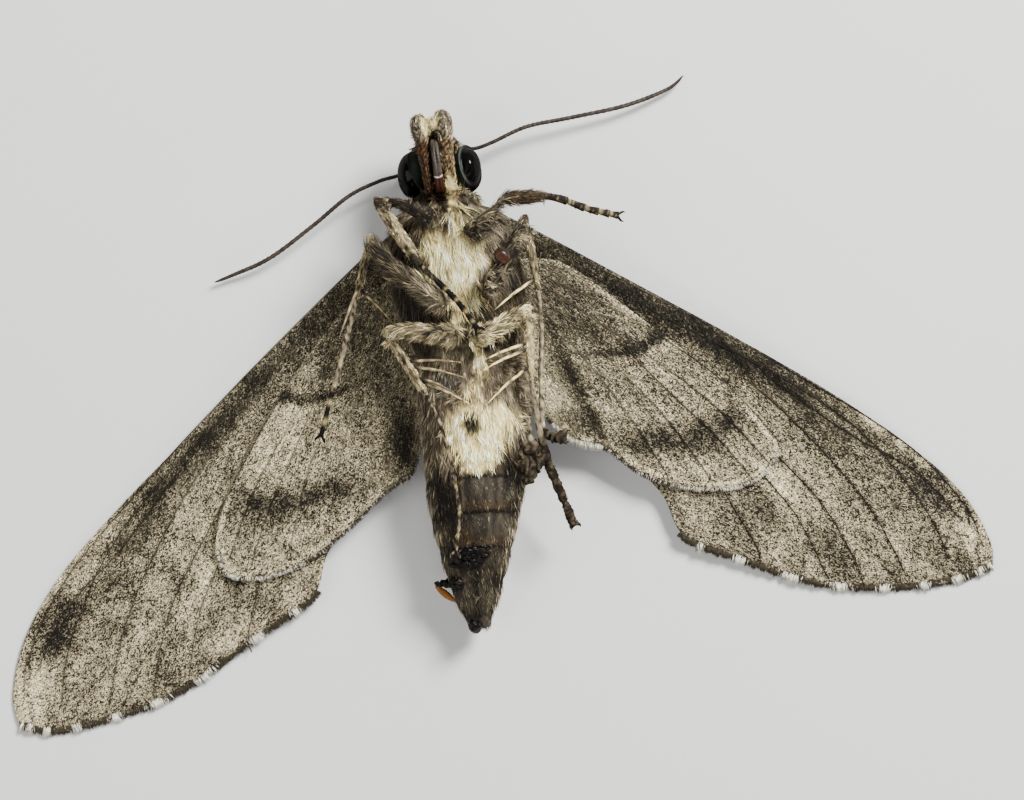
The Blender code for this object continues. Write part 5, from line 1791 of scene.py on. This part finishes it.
class MOTH_OT_skin(bpy.types.Operator):
    """Draw one skin over body and legs and paint it"""

    bl_idname = "moth.skin"
    bl_label = "Skin"

    def execute(self, context):
        skin = build_skin_shape(context.scene.moth)
        points = points_of(skin)
        # the skin takes the coat's colours at 0.6: painted shade in the gaps between the tufts
        paint(skin, "coat", body_colours(points, parts_at(points)) * 0.6)
        paint(skin, "wet", np.tile(wetness(points)[:, None], 3))
        finish(skin, skin_finish(), "body_hair", *PART_NAMES)
        MADE["skin"] = skin
        return {"FINISHED"}


class MOTH_OT_coat(bpy.types.Operator):
    """Cover the skin with hair and scales"""

    bl_idname = "moth.coat"
    bl_label = "Coat"

    def execute(self, context):
        make_coats(context.scene.moth, MADE["skin"], coat_finish("hair", 0.42, 0.18))
        make_crust(horn_finish("wet clots", 0.20, 0.05, 0.06), MADE["skin"])
        return {"FINISHED"}


class MOTH_OT_wings(bpy.types.Operator):
    """Make the wings' membranes and veins"""

    bl_idname = "moth.wings"
    bl_label = "Wings"

    def execute(self, context):
        membrane = membrane_finish(context.scene.moth)
        veins = horn_finish("veins", 0.7, 0.02, 0.03)
        for kind, side in WINGS:
            make_membrane(context.scene.moth, kind, side, membrane)
            make_veins(kind, side, veins)
        return {"FINISHED"}


class MOTH_OT_scales(bpy.types.Operator):
    """Cover both faces of the wings with scales and edge them with a fringe"""

    bl_idname = "moth.scales"
    bl_label = "Wing scales and fringes"

    def execute(self, context):
        material = coat_finish("scales and fringe", 0.65, 0.08)
        for kind, side in WINGS:
            for upper in (False, True):
                make_scales(context.scene.moth, kind, side, upper, material)
            make_fringe(context.scene.moth, kind, side, material)
        return {"FINISHED"}


class MOTH_OT_head_parts(bpy.types.Operator):
    """Make the eyes, the tongue and the feelers"""

    bl_idname = "moth.head_parts"
    bl_label = "Eyes, tongue and feelers"

    def execute(self, context):
        make_eyes(eye_finish())
        make_tongue(horn_finish("tongue", 0.34, 0.012, 0.07))
        make_feelers(horn_finish("feelers", 0.6, 0.03, 0.15))
        return {"FINISHED"}


class MOTH_OT_leg_parts(bpy.types.Operator):
    """Make the feet with their claws, the spurs and the bare leg joint"""

    bl_idname = "moth.leg_parts"
    bl_label = "Feet and spurs"

    def execute(self, context):
        make_feet(horn_finish("feet", 0.68, 0.08, 0.05))
        make_spurs(horn_finish("spurs", 0.55, 0.04, 0.12))
        make_boss(horn_finish("bare joint", 0.24, 0.02, 0.10))
        return {"FINISHED"}


class MOTH_OT_stage(bpy.types.Operator):
    """Set up floor, lights and camera"""

    bl_idname = "moth.stage"
    bl_label = "Stage"

    def execute(self, context):
        make_stage(context.scene.moth_stage)
        return {"FINISHED"}


class MOTH_PT_panel(bpy.types.Panel):
    """Buttons for each group of pieces"""

    bl_label = "Hawk moth"
    bl_idname = "MOTH_PT_panel"
    bl_space_type = "VIEW_3D"
    bl_region_type = "UI"
    bl_category = "Moth"

    def draw(self, context):
        for group in (context.scene.moth, context.scene.moth_stage):
            for key in group.bl_rna.properties.keys():
                if key not in ("rna_type", "name"):
                    self.layout.prop(group, key)
        for step in STEPS:
            self.layout.operator(step.bl_idname)


STEPS = (MOTH_OT_skin, MOTH_OT_coat, MOTH_OT_wings, MOTH_OT_scales, MOTH_OT_head_parts, MOTH_OT_leg_parts,
         MOTH_OT_stage)
CLASSES = (MothSettings, StageSettings, *STEPS, MOTH_PT_panel)


def register():
    for each in CLASSES:
        bpy.utils.register_class(each)
    bpy.types.Scene.moth = PointerProperty(type=MothSettings)
    bpy.types.Scene.moth_stage = PointerProperty(type=StageSettings)


def unregister():
    del bpy.types.Scene.moth_stage
    del bpy.types.Scene.moth
    for each in reversed(CLASSES):
        bpy.utils.unregister_class(each)


def main():
    register()
    for step in (bpy.ops.moth.skin, bpy.ops.moth.coat, bpy.ops.moth.wings, bpy.ops.moth.scales,
                 bpy.ops.moth.head_parts, bpy.ops.moth.leg_parts, bpy.ops.moth.stage):
        step()


if __name__ == "__main__":
    main()
